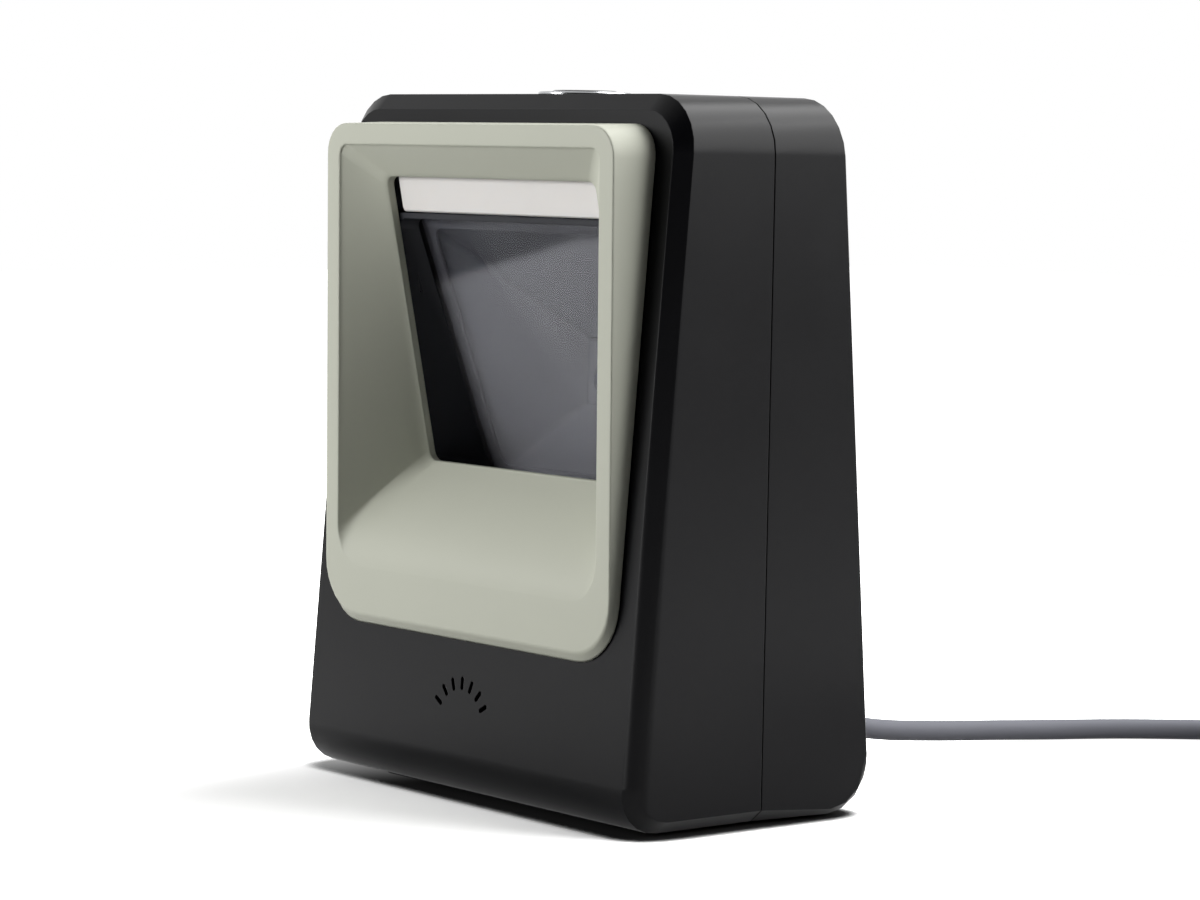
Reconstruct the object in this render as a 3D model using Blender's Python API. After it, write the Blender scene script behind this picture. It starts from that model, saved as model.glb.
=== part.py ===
"""Desktop presentation barcode scanner with its lead.

All sizes are in millimetres and are turned into metres where a mesh is made.
X runs across the scanner, Y from its front to its rear, Z up from the table.
"""
import math

import bmesh
import bpy
from mathutils import Matrix, Vector

MM = 0.001

# Clearances and the fineness of round shapes
GAP = 0.3
CORNER_STEPS = 6
ROUND_SIDES = 16
WELD = 0.0001

# Housing
WIDTH = 117.0
HEIGHT = 150.0
DEPTH_BASE = 67.0
DEPTH_TOP = 43.0
WALL = 2.4
FRONT_LOW_ROUND = 10.0
REAR_LOW_ROUND = 12.0
HIGH_CORNER = 12.0
CHAMFER_WIDTH = 3.3
CHAMFER_DEPTH = 2.7
REAR_EDGE = 1.2
SEAM_Y = 2.0
PAD_THICKNESS = 0.5
PAD_SIDE = 14.0
PAD_INSET = 0.6
PAD_CORNER = 4.0

# Bezel
BEZEL_SIDE = 8.2
BEZEL_TOP = 6.1
BEZEL_LOW = 34.3
BEZEL_SETBACK = 1.6
BEZEL_FLARE = 0.5
BEZEL_SKIRT = 2.0
BEZEL_LOW_CORNER = 12.0
BEZEL_HIGH_CORNER = 7.0
BEZEL_SEAT = 5.0
BEZEL_BELLY = 3.0
RIM = 5.2
CHIN = 12.5
FUNNEL_EDGE = 0.8
FUNNEL_LOW_CORNER = 13.0
FUNNEL_HIGH_CORNER = 2.5
RAMP_ROUND = 9.0
FUNNEL_STEPS = (0.12, 0.25, 0.4, 0.6, 0.8)

# Window opening at the back of the bezel's funnel
WINDOW_SIDE = 8.5
WINDOW_TOP = 6.3
WINDOW_RISE = 22.2
WINDOW_DEPTH_TOP = 5.9
WINDOW_DEPTH_LOW = 18.4
WINDOW_CORNER = 2.5
LIP = 2.0

# Light bar, glass and light tunnel
BAR_HEIGHT = 8.0
BAR_SIDE = 1.8
BAR_DEPTH = 3.0
BAR_END = 0.8
BOARD = 1.6
LED_COUNT = 4
LED_WIDTH = 3.5
LED_DEPTH = 1.2
SHROUD_WALL = 1.2
SHROUD_TAPER = 1.1
GLASS_BEHIND_TOP = 5.8
GLASS_BEHIND_LOW = 15.6
GLASS_DROP = 2.6
GLASS_DEPTH = 2.1
GLASS_BORDER = 1.6
GASKET_DEPTH = 0.8
GASKET_INNER = 2.0
TUNNEL_FLANGE = 1.6
THROAT_SHARE = 0.28
AXIS_RISE = 0.4

# Imager
IMAGER_WIDTH = 22.0
IMAGER_HEIGHT = 17.0
IMAGER_DEPTH = 9.4
BARREL_RADIUS = 4.0
IMAGER_EDGE = 0.6
BARREL_LENGTH = 3.4
BARREL_EDGE = 0.3
LENS_RADIUS = 2.8
LENS_DEPTH = 0.9
LENS_BULGE = 0.5
AIMER_OFFSET = 7.0
AIMER_RADIUS = 1.5
AIMER_LENGTH = 1.5
IMAGER_EAR = 6.0
IMAGER_TAIL = 8.5
IMAGER_CLEAR = 2.7

# Main board and what it carries
MAIN_WIDTH = 72.0
MAIN_LOW = 24.0
MAIN_HEIGHT = 43.0
MAIN_CLEAR = 3.6
CHIP_HEIGHT = 1.4
CHIP_SHARE = 0.22
PROCESSOR_SIZE = 12.0
MEMORY_WIDTH = 10.0
MEMORY_HEIGHT = 7.0
SOCKET_DEPTH = 2.4
SOCKET_HEIGHT = 4.0
SOCKET_MARGIN = 2.0
SOCKET_DROP = 3.0
CABLE_SOCKET_WIDTH = 13.0
CABLE_SOCKET_DEPTH = 7.0
CABLE_SOCKET_HEIGHT = 6.0
CABLE_SOCKET_RISE = 11.0
CABLE_PLUG_HEIGHT = 5.0
CABLE_PLUG_INSET = 0.5
FLEX_WIDTH = 10.0
FLEX_THICKNESS = 0.3
FLEX_BULGE = 1.2
FLEX_STEPS = 10
FLEX_LAP = 2.0
LEAD_DIAMETER = 1.6
LEAD_SPACING = 3.2
LEAD_BEND = 4.0
LEAD_INSET = 8.0
LEAD_RISE = 6.0
LEAD_DROP = 12.0
LEAD_BESIDE = 9.0
LEAD_BEHIND = 10.5

# Beeper behind the sound slots
SLOT_COUNT = 7
SLOT_RADIUS = 9.0
SLOT_CENTRE_Z = 16.3
SLOT_SPACING = 20.0
SLOT_LENGTH = 2.9
SLOT_WIDTH = 1.0
BEEPER_Z = 21.0
BEEPER_RADIUS = 7.0
BEEPER_DEPTH = 6.5
BEEPER_GASKET = 1.0
BEEPER_RIM = 1.6
BEEPER_EDGE = 0.5

# Trigger button on the top
BUTTON_Y = -1.0
BUTTON_RADIUS = 7.2
BUTTON_PROUD = 1.15
BUTTON_TRAVEL = 0.8
BUTTON_LIP = 1.2
BUTTON_FLANGE = 1.0
BUTTON_EDGE = 0.6
COLLAR_RADIUS = 10.0
COLLAR_PROUD = 0.8
COLLAR_NECK = 0.8
COLLAR_SKIRT = 1.2
COLLAR_HEIGHT = 7.0
COLLAR_CLIP = 0.9
COLLAR_EDGE = 0.25
STEM_RADIUS = 1.5
SWITCH_SIZE = 6.0
SWITCH_HEIGHT = 1.6
SPRING_RADIUS = 5.2
SPRING_WIRE = 0.45
SPRING_TURNS = 3.0
SPRING_POINTS = 18
SPRING_END_RISE = 1.2
SPRING_FLARE = 0.3

# Screws
HOUSING_SCREW_SIDE = 9.5
HOUSING_SCREW_LOW = 17.0
HOUSING_SCREW_TOP = 13.0
BOSS_RADIUS = 4.8
SCREW_RADIUS = 1.3
SCREW_HEAD_RADIUS = 2.7
SCREW_HEAD_HEIGHT = 1.8
SCREW_SEAT = 7.0
SCREW_BITE = 9.0
SMALL_SCREW_RADIUS = 0.9
SMALL_HEAD_RADIUS = 1.9
SMALL_HEAD_HEIGHT = 1.2
SMALL_BITE = 2.4
POST_RADIUS = 2.6
BEZEL_SCREW_SHARES = (0.26, 0.78)

# Lead
CORD_DIAMETER = 4.8
CORD_LENGTH = 1500.0
EXIT_Z = 17.0
RELIEF_LENGTH = 11.0
RELIEF_RADIUS = 4.4
RELIEF_TIP = 3.1
RELIEF_FLANGE = 6.2
RELIEF_SHOULDER = 0.8
RELIEF_RING = 1.5
RELIEF_EDGE = 0.35
COIL_PITCH = 5.6
COIL_LOOPS = 7
COIL_EXIT_ANGLE = 8.0
COIL_STEPS = 24
COIL_LIFT = 1.4
TAIL_FLAT = 22.0
TAIL_FALL = 30.0
TAIL_POINTS = 14
TIE_WIDTH = 9.0
TIE_THICKNESS = 0.8
TIE_CLEAR = 0.5
TIE_CORNER = 2.0
TIE_ANGLE = -60.0
PLUG_WIDTH = 16.0
PLUG_HEIGHT = 8.2
PLUG_LENGTH = 28.0
PLUG_NECK = 5.0
PLUG_NECK_WALL = 1.8
PLUG_FLARE = 6.0
PLUG_EDGE = 0.9
PLUG_SHELL_WIDTH = 12.0
PLUG_SHELL_HEIGHT = 4.5
PLUG_SHELL_LENGTH = 18.0
PLUG_SHELL_WALL = 0.4
PLUG_SHELL_CORNER = 0.6
PLUG_SHELL_FLOOR = 6.0
PLUG_TONGUE_SHARE = 0.4

# Route of the lead behind the strain relief: across, back, up
ROUTE = (
    (0.0, 49.0, 16.7),
    (0.0, 56.0, 15.4),
    (0.0, 64.0, 12.9),
    (0.1, 72.0, 9.8),
    (0.3, 80.0, 7.3),
    (0.5, 87.0, 5.9),
    (1.0, 94.0, 5.0),
    (1.6, 101.0, 4.4),
    (2.4, 108.0, 3.9),
    (3.4, 115.0, 3.5),
    (4.7, 122.0, 3.2),
    (6.3, 129.0, 2.9),
    (8.7, 137.0, 2.6),
    (12.0, 145.0, 2.5),
    (16.5, 153.0, 2.5),
    (22.0, 161.0, 2.5),
    (29.0, 169.0, 2.6),
    (37.0, 176.5, 2.8),
    (46.0, 183.0, 3.1),
    (55.0, 188.7, 3.5),
)
ARRIVAL_HEADING = 31.0
ARRIVAL = (64.0, 194.1)

# Finishes: colour, roughness, metallic share
FINISHES = {
    "black_abs": ("#232226", 0.45, 0.0),
    "taupe_abs": ("#BABCAE", 0.55, 0.0),
    "black_polycarbonate": ("#0B0C10", 0.5, 0.0),
    "window_glass": ("#9AA0A4", 0.05, 0.0),
    "grey_foam": ("#4A4A4C", 0.9, 0.0),
    "opal_polycarbonate": ("#DCDAD6", 0.4, 0.0),
    "circuit_board": ("#1E4A34", 0.5, 0.0),
    "chip_epoxy": ("#1A1A1C", 0.6, 0.0),
    "led_resin": ("#F2EED8", 0.3, 0.0),
    "lens_glass": ("#27304A", 0.05, 0.0),
    "cream_nylon": ("#E6E0CC", 0.5, 0.0),
    "polyimide": ("#B8752A", 0.4, 0.0),
    "steel": ("#9A9CA0", 0.35, 1.0),
    "polished_metal": ("#C8CACC", 0.15, 1.0),
    "gloss_black": ("#141416", 0.12, 0.0),
    "black_rubber": ("#19191B", 0.85, 0.0),
    "grey_pvc": ("#8A8B92", 0.5, 0.0),
    "white_nylon": ("#E8E8E4", 0.5, 0.0),
}

SCANNER = bpy.data.objects.new("scanner", None)


def clear_scene():
    """Remove what the file holds, so that only the scanner is left."""
    for item in list(bpy.data.objects):
        if item is not SCANNER:
            bpy.data.objects.remove(item, do_unlink=True)
    bpy.context.scene.collection.objects.link(SCANNER)


def linear(channel):
    """Turn one screen colour channel, 0 to 1, into linear light."""
    if channel <= 0.04045:
        return channel / 12.92
    return ((channel + 0.055) / 1.055) ** 2.4


def material(name, finish):
    """Make a sub-part's own material from a named finish."""
    code, roughness, metallic = FINISHES[finish]
    colour = [linear(int(code[i:i + 2], 16) / 255.0) for i in (1, 3, 5)]
    made = bpy.data.materials.new(name + "_" + finish)
    made.use_nodes = True
    shader = made.node_tree.nodes["Principled BSDF"]
    shader.inputs["Base Color"].default_value = (*colour, 1.0)
    shader.inputs["Roughness"].default_value = roughness
    shader.inputs["Metallic"].default_value = metallic
    made.diffuse_color = (*colour, 1.0)
    return made


def add_object(name, data, finish, location=(0.0, 0.0, 0.0), rotation=(0.0, 0.0, 0.0)):
    """Put a mesh or a curve in the scene as a named sub-part."""
    made = bpy.data.objects.new(name, data)
    made.location = Vector(location) * MM
    made.rotation_euler = rotation
    made.parent = SCANNER
    data.materials.append(material(name, finish))
    bpy.context.scene.collection.objects.link(made)
    return made


def finish_mesh(work, name, smooth_angle=35.0):
    """Face a mesh outwards, turn it into metres and shade its round parts smooth."""
    bmesh.ops.recalc_face_normals(work, faces=work.faces)
    bmesh.ops.scale(work, vec=(MM, MM, MM), verts=work.verts)
    mesh = bpy.data.meshes.new(name)
    work.to_mesh(mesh)
    work.free()
    mesh.shade_smooth()
    mesh.set_sharp_from_angle(angle=math.radians(smooth_angle))
    return mesh


def outline(half_width, low, high, low_radius, high_radius):
    """Closed outline across X and Z with round corners, from the low left corner round."""
    corners = (
        (-half_width + low_radius, low + low_radius, low_radius, 180.0),
        (half_width - low_radius, low + low_radius, low_radius, 270.0),
        (half_width - high_radius, high - high_radius, high_radius, 0.0),
        (-half_width + high_radius, high - high_radius, high_radius, 90.0),
    )
    points = []
    for x, z, radius, start in corners:
        for step in range(CORNER_STEPS + 1):
            angle = math.radians(start + 90.0 * step / CORNER_STEPS)
            points.append((x + radius * math.cos(angle), z + radius * math.sin(angle)))
    return points


def ring(points, plane):
    """Lay an outline on a surface given as Y for each height."""
    return [Vector((x, plane(z), z)) for x, z in points]


def loft(name, rings, finish, joined=False, smooth_angle=35.0):
    """Skin a row of rings: capped at both ends, or joined from the last to the first."""
    work = bmesh.new()
    loops = [[work.verts.new(point) for point in row] for row in rings]
    pairs = list(zip(loops, loops[1:]))
    if joined:
        pairs.append((loops[-1], loops[0]))
    else:
        work.faces.new(loops[0])
        work.faces.new(loops[-1])
    count = len(rings[0])
    for first, second in pairs:
        for i in range(count):
            j = (i + 1) % count
            work.faces.new((first[i], first[j], second[j], second[i]))
    bmesh.ops.remove_doubles(work, verts=work.verts, dist=WELD)
    return add_object(name, finish_mesh(work, name, smooth_angle), finish)


def block(name, size, centre, finish, edge=0.2, rotation=(0.0, 0.0, 0.0)):
    """Box with slightly broken edges."""
    work = bmesh.new()
    bmesh.ops.create_cube(work, size=1.0)
    bmesh.ops.scale(work, vec=size, verts=work.verts)
    bmesh.ops.bevel(work, geom=work.edges[:], offset=edge, segments=1, affect="EDGES")
    return add_object(name, finish_mesh(work, name), finish, centre, rotation)


def turned(name, profile, finish, location, rotation=(0.0, 0.0, 0.0), sides=ROUND_SIDES):
    """Turn a closed profile of radius and height about Z; a radius of 0 lies on the axis."""
    work = bmesh.new()
    rows = []
    for radius, height in profile:
        if radius == 0.0:
            rows.append([work.verts.new((0.0, 0.0, height))] * sides)
            continue
        row = []
        for i in range(sides):
            angle = math.tau * i / sides
            row.append(work.verts.new((radius * math.cos(angle), radius * math.sin(angle), height)))
        rows.append(row)
    for first, second in zip(rows, rows[1:] + rows[:1]):
        for i in range(sides):
            j = (i + 1) % sides
            corners = [first[i], first[j], second[j], second[i]]
            distinct = list(dict.fromkeys(corners))
            if len(distinct) > 2:
                work.faces.new(distinct)
    return add_object(name, finish_mesh(work, name), finish, location, rotation)


def rod(name, radius, length, finish, location, rotation=(0.0, 0.0, 0.0), edge=0.2):
    """Round rod with broken edges, standing on its location along its own Z."""
    rings = []
    turns = [math.tau * i / ROUND_SIDES for i in range(ROUND_SIDES)]
    profile = ((radius - edge, 0.0), (radius, edge), (radius, length - edge), (radius - edge, length))
    for size, height in profile:
        rings.append([Vector((size * math.cos(turn), size * math.sin(turn), height)) for turn in turns])
    made = loft(name, rings, finish)
    made.location = Vector(location) * MM
    made.rotation_euler = rotation
    return made


def tube(name, points, diameter, finish, resolution=2):
    """Round tube with filled ends along a row of points."""
    curve = bpy.data.curves.new(name, "CURVE")
    curve.dimensions = "3D"
    curve.bevel_depth = diameter / 2.0 * MM
    curve.bevel_resolution = resolution
    curve.use_fill_caps = True
    spline = curve.splines.new("POLY")
    spline.points.add(len(points) - 1)
    for target, point in zip(spline.points, points):
        target.co = (*(Vector(point) * MM), 1.0)
    spline.use_smooth = True
    return add_object(name, curve, finish)


def smooth_points(points, spacing):
    """Read evenly spaced points from a smooth curve through the given ones."""
    knots = [Vector(point) for point in points]
    knots.insert(0, knots[0] * 2.0 - knots[1])
    knots.append(knots[-1] * 2.0 - knots[-2])
    fine = []
    steps = 24
    for before, start, end, after in zip(knots, knots[1:], knots[2:], knots[3:]):
        for step in range(steps):
            t = step / steps
            fine.append(0.5 * (2.0 * start + (end - before) * t
                               + (2.0 * before - 5.0 * start + 4.0 * end - after) * t ** 2
                               + (3.0 * start - before - 3.0 * end + after) * t ** 3))
    fine.append(knots[-2])
    total = path_length(fine)
    count = max(4, round(total / spacing))
    chosen = [fine[0]]
    travelled = 0.0
    for first, second in zip(fine, fine[1:]):
        travelled += (second - first).length
        if travelled >= total * len(chosen) / count and len(chosen) < count:
            chosen.append(second)
    chosen.append(fine[-1])
    return chosen


def path_length(points):
    """Length along a row of points."""
    return sum((second - first).length for first, second in zip(points, points[1:]))


def as_tool(item):
    """Hide a cutter or an addition, which is not a sub-part."""
    item.hide_render = True
    item.display_type = "WIRE"
    return item


def combine(target, tool, operation):
    """Cut a tool out of a sub-part, or join it on."""
    change = target.modifiers.new(operation.lower() + "_" + tool.name, "BOOLEAN")
    change.operation = operation
    change.object = as_tool(tool)


# Surfaces of the housing and of the bezel, as Y for each height
LEAN = (DEPTH_BASE - DEPTH_TOP) / 2.0 / HEIGHT
BODY_Z = PAD_THICKNESS + GAP
ALONG_Y = (math.radians(-90.0), 0.0, 0.0)
AGAINST_Y = (math.radians(90.0), 0.0, 0.0)


def front_plane(z):
    """Leaning front of the housing."""
    return -DEPTH_BASE / 2.0 + LEAN * z


def rear_plane(z):
    """Leaning rear of the housing."""
    return DEPTH_BASE / 2.0 - LEAN * z


def rear_inside(z):
    """Inside of the rear wall."""
    return rear_plane(z) - WALL


def bezel_plane(z):
    """Nearly upright front of the bezel."""
    return -DEPTH_BASE / 2.0 + BEZEL_SETBACK * (1.0 - z / HEIGHT)


def shifted(plane, amount):
    """The same surface further back."""
    return lambda z: plane(z) + amount


def level(y):
    """Upright surface at one place."""
    return lambda z: y


def line_through(low, y_low, high, y_high):
    """Sloping surface through two heights."""
    return lambda z: y_low + (y_high - y_low) * (z - low) / (high - low)


# Faces of the housing: radius of the low edge, width and depth of the bevel round the face
FRONT_FACE = (FRONT_LOW_ROUND, CHAMFER_WIDTH, CHAMFER_DEPTH)
REAR_FACE = (REAR_LOW_ROUND, REAR_EDGE, REAR_EDGE)


def housing_outline(face, behind, inset=0.0):
    """Outline of the housing a given way behind its front or rear face; the bevel follows the low edge."""
    low_round, width, depth = face
    low_round -= inset
    done = min(behind / depth, 1.0)
    left = width * (1.0 - done)
    ahead = max(low_round - behind, 0.0)
    flank = []
    for step in range(CORNER_STEPS + 1):
        share = done * step / CORNER_STEPS
        fall = math.sqrt(max((low_round - depth * share) ** 2 - ahead ** 2, 0.0))
        flank.append((WIDTH / 2.0 - inset - width * (1.0 - share), BODY_Z + inset + low_round - fall))
    radius = HIGH_CORNER - inset - left
    roof = outline(WIDTH / 2.0 - inset - left, BODY_Z, HEIGHT - inset - left, radius, radius)
    return [(-x, z) for x, z in reversed(flank)] + flank + roof[len(roof) // 2:]


def face_depths(face, inset=0.0):
    """Steps behind a face of the housing: across its bevel, then round its low edge."""
    low_round, _, depth = face
    low_round -= inset
    steps = CORNER_STEPS // 2
    depths = [depth * (step / steps) ** 2 for step in range(steps)]
    start = math.acos(1.0 - depth / low_round)
    for step in range(steps + 1):
        turn = start + (math.pi / 2.0 - start) * step / steps
        depths.append(low_round * (1.0 - math.cos(turn)))
    return depths


def seam_ring(y, inset=0.0):
    """Cross-section of the housing at the seam, the same for both shells."""
    return ring(housing_outline(FRONT_FACE, FRONT_LOW_ROUND, inset), level(y))


BEZEL_HALF = WIDTH / 2.0 - BEZEL_SIDE
BEZEL_HIGH = HEIGHT - BEZEL_TOP
FUNNEL_HALF = BEZEL_HALF - RIM
FUNNEL_LOW = BEZEL_LOW + CHIN
FUNNEL_HIGH = BEZEL_HIGH - RIM
WINDOW_HALF = FUNNEL_HALF - WINDOW_SIDE
WINDOW_LOW = FUNNEL_LOW + WINDOW_RISE
WINDOW_HIGH = FUNNEL_HIGH - WINDOW_TOP
window_plane = line_through(WINDOW_LOW, bezel_plane(WINDOW_LOW) + WINDOW_DEPTH_LOW,
                            WINDOW_HIGH, bezel_plane(WINDOW_HIGH) + WINDOW_DEPTH_TOP)


def bezel_outline(inset=0.0):
    """Outline of the bezel seen from the front."""
    return outline(BEZEL_HALF - inset, BEZEL_LOW + inset, BEZEL_HIGH - inset,
                   max(BEZEL_LOW_CORNER - inset, 1.0), max(BEZEL_HIGH_CORNER - inset, 1.0))


def rim_outline():
    """Outline of the bezel's flat rim, inside its flanks and above its sloping foot."""
    return outline(BEZEL_HALF - BEZEL_FLARE, BEZEL_LOW + BEZEL_SKIRT, BEZEL_HIGH - BEZEL_FLARE,
                   BEZEL_LOW_CORNER - BEZEL_FLARE, BEZEL_HIGH_CORNER - BEZEL_FLARE)


def funnel_outline(grow=0.0):
    """Outline of the funnel's mouth on the bezel's front."""
    return outline(FUNNEL_HALF + grow, FUNNEL_LOW - grow, FUNNEL_HIGH + grow,
                   FUNNEL_LOW_CORNER + grow, FUNNEL_HIGH_CORNER + grow)


def window_outline(grow=0.0):
    """Outline of the window opening."""
    return outline(WINDOW_HALF + grow, WINDOW_LOW - grow, WINDOW_HIGH + grow,
                   WINDOW_CORNER + grow, WINDOW_CORNER + grow)


# Glass: it leans more than the window opening and starts under the light bar
BAR_LOW = WINDOW_HIGH - BAR_HEIGHT
SHROUD_HIGH = BAR_LOW - GAP - SHROUD_WALL
SHROUD_HALF = WINDOW_HALF + GAP
GLASS_HALF = SHROUD_HALF - SHROUD_WALL - SHROUD_TAPER
GLASS_LOW = WINDOW_LOW - GLASS_DROP
glass_plane = line_through(GLASS_LOW, window_plane(GLASS_LOW) + GLASS_BEHIND_LOW,
                           SHROUD_HIGH, window_plane(SHROUD_HIGH) + GLASS_BEHIND_TOP)
AXIS_Z = GLASS_LOW + AXIS_RISE * (SHROUD_HIGH - GLASS_LOW)


def glass_outline(grow=0.0):
    """Outline of the glass that shows inside the shroud."""
    return outline(GLASS_HALF + grow, GLASS_LOW - grow, SHROUD_HIGH + grow,
                   WINDOW_CORNER, WINDOW_CORNER)


def housing_screw_places():
    """Across and up for the four screws that hold the shells together."""
    across = WIDTH / 2.0 - HOUSING_SCREW_SIDE
    return [(side * across, z)
            for z in (HOUSING_SCREW_LOW, HEIGHT - HOUSING_SCREW_TOP)
            for side in (-1.0, 1.0)]


def bezel_screw_places():
    """Across and up for the four screws behind the bezel's rim."""
    across = BEZEL_HALF - BEZEL_SEAT / 2.0
    heights = [BEZEL_LOW + share * (BEZEL_HIGH - BEZEL_LOW) for share in BEZEL_SCREW_SHARES]
    return [(side * across, z) for z in heights for side in (-1.0, 1.0)]


def make_front_housing():
    """Front shell with the bezel's opening, the sound slots and half of the button's hole."""
    seam = SEAM_Y - GAP / 2.0
    rings = [ring(housing_outline(FRONT_FACE, behind), shifted(front_plane, behind))
             for behind in face_depths(FRONT_FACE)]
    rings += [seam_ring(seam), seam_ring(seam, WALL)]
    rings += [ring(housing_outline(FRONT_FACE, behind, WALL), shifted(front_plane, WALL + behind))
              for behind in reversed(face_depths(FRONT_FACE, WALL))]
    shell = loft("front_housing", rings, "black_abs")
    reach = DEPTH_BASE
    for i, (x, z) in enumerate(housing_screw_places(), start=1):
        length = seam - front_plane(z) - WALL / 2.0
        boss = rod("front_boss_%d" % i, BOSS_RADIUS - 1.0, length, "black_abs", (x, seam, z), AGAINST_Y)
        combine(shell, boss, "UNION")
        pilot = rod("pilot_%d" % i, SCREW_RADIUS + GAP, 2.0 * (SCREW_BITE + 2.0), "black_abs",
                    (x, SEAM_Y + SCREW_BITE + 2.0, z), AGAINST_Y)
        combine(shell, pilot, "DIFFERENCE")
    mouth = bezel_outline(BEZEL_SEAT)
    front_cut = [ring(mouth, level(-reach)), ring(mouth, shifted(front_plane, WALL + 1.0))]
    combine(shell, loft("bezel_mouth", front_cut, "black_abs"), "DIFFERENCE")
    for i, (x, z) in enumerate(bezel_screw_places(), start=1):
        hole = rod("bezel_hole_%d" % i, SMALL_SCREW_RADIUS + GAP, 3.0 * WALL, "black_abs",
                   (x, front_plane(z) + 2.0 * WALL, z), AGAINST_Y)
        combine(shell, hole, "DIFFERENCE")
    for i in range(SLOT_COUNT):
        combine(shell, slot_cutter(i), "DIFFERENCE")
    combine(shell, button_hole("front_button_hole"), "DIFFERENCE")


def slot_cutter(index):
    """One sound slot of the fan, radial and with round ends."""
    turn = math.radians(SLOT_SPACING * (index - (SLOT_COUNT - 1) / 2.0))
    half = (SLOT_LENGTH - SLOT_WIDTH) / 2.0
    points = []
    for end, start in ((1.0, 0.0), (-1.0, 180.0)):
        for step in range(CORNER_STEPS + 1):
            angle = math.radians(start + 180.0 * step / CORNER_STEPS)
            across = SLOT_WIDTH / 2.0 * math.cos(angle)
            along = SLOT_RADIUS + end * half + SLOT_WIDTH / 2.0 * math.sin(angle)
            points.append((across * math.cos(turn) + along * math.sin(turn),
                           SLOT_CENTRE_Z - across * math.sin(turn) + along * math.cos(turn)))
    planes = (shifted(front_plane, -WALL), shifted(front_plane, 2.0 * WALL))
    return loft("slot_%d" % (index + 1), [ring(points, plane) for plane in planes], "black_abs")


def button_hole(name):
    """Round hole through the roof for the button's collar."""
    radius = COLLAR_RADIUS - COLLAR_NECK + GAP
    return rod(name, radius, 4.0 * WALL, "black_abs", (0.0, BUTTON_Y, HEIGHT - 2.0 * WALL))


def make_rear_housing():
    """Rear shell with screw wells, board posts, the lead's hole and half of the button's hole."""
    seam = SEAM_Y + GAP / 2.0
    rings = [ring(housing_outline(REAR_FACE, behind, WALL), shifted(rear_inside, -behind))
             for behind in face_depths(REAR_FACE, WALL)]
    rings += [seam_ring(seam, WALL), seam_ring(seam)]
    rings += [ring(housing_outline(REAR_FACE, behind), shifted(rear_plane, -behind))
              for behind in reversed(face_depths(REAR_FACE))]
    shell = loft("rear_housing", rings, "black_abs")
    for i, (x, z) in enumerate(housing_screw_places(), start=1):
        length = rear_inside(z) + WALL / 2.0 - seam
        boss = rod("rear_boss_%d" % i, BOSS_RADIUS, length, "black_abs", (x, seam, z), ALONG_Y)
        combine(shell, boss, "UNION")
        bore = rod("bore_%d" % i, SCREW_RADIUS + GAP, 2.0 * SCREW_SEAT, "black_abs",
                   (x, SEAM_Y - SCREW_SEAT / 2.0, z), ALONG_Y)
        combine(shell, bore, "DIFFERENCE")
        well = rod("well_%d" % i, SCREW_HEAD_RADIUS + GAP, DEPTH_BASE, "black_abs",
                   (x, SEAM_Y + SCREW_SEAT, z), ALONG_Y)
        combine(shell, well, "DIFFERENCE")
    posts = [(x, z, MAIN_BACK) for x, z in main_screw_places()]
    posts += [(x, z, IMAGER_BOARD_BACK) for x, z in imager_screw_places()]
    for i, (x, z, back) in enumerate(posts, start=1):
        start = back + GAP
        post = rod("post_%d" % i, POST_RADIUS, rear_inside(z) + WALL / 2.0 - start, "black_abs",
                   (x, start, z), ALONG_Y)
        combine(shell, post, "UNION")
        pilot = rod("post_pilot_%d" % i, SMALL_SCREW_RADIUS + GAP, 2.0 * (SMALL_BITE + GAP),
                    "black_abs", (x, start - SMALL_BITE - GAP, z), ALONG_Y)
        combine(shell, pilot, "DIFFERENCE")
    hole = rod("lead_hole", RELIEF_RADIUS + GAP, 4.0 * WALL, "black_abs",
               (0.0, rear_inside(EXIT_Z) - WALL, EXIT_Z), ALONG_Y)
    combine(shell, hole, "DIFFERENCE")
    combine(shell, button_hole("rear_button_hole"), "DIFFERENCE")


def make_base_pad():
    """Non-slip rubber sheet under both shells."""
    half = WIDTH / 2.0 - CHAMFER_WIDTH - PAD_SIDE
    near = front_plane(BODY_Z) + FRONT_LOW_ROUND + PAD_INSET
    far = rear_plane(BODY_Z) - REAR_LOW_ROUND - PAD_INSET
    footprint = outline(half, near, far, PAD_CORNER, PAD_CORNER)
    rows = [[Vector((x, y, z)) for x, y in footprint] for z in (0.0, PAD_THICKNESS)]
    loft("base_pad", rows, "black_rubber")


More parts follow.
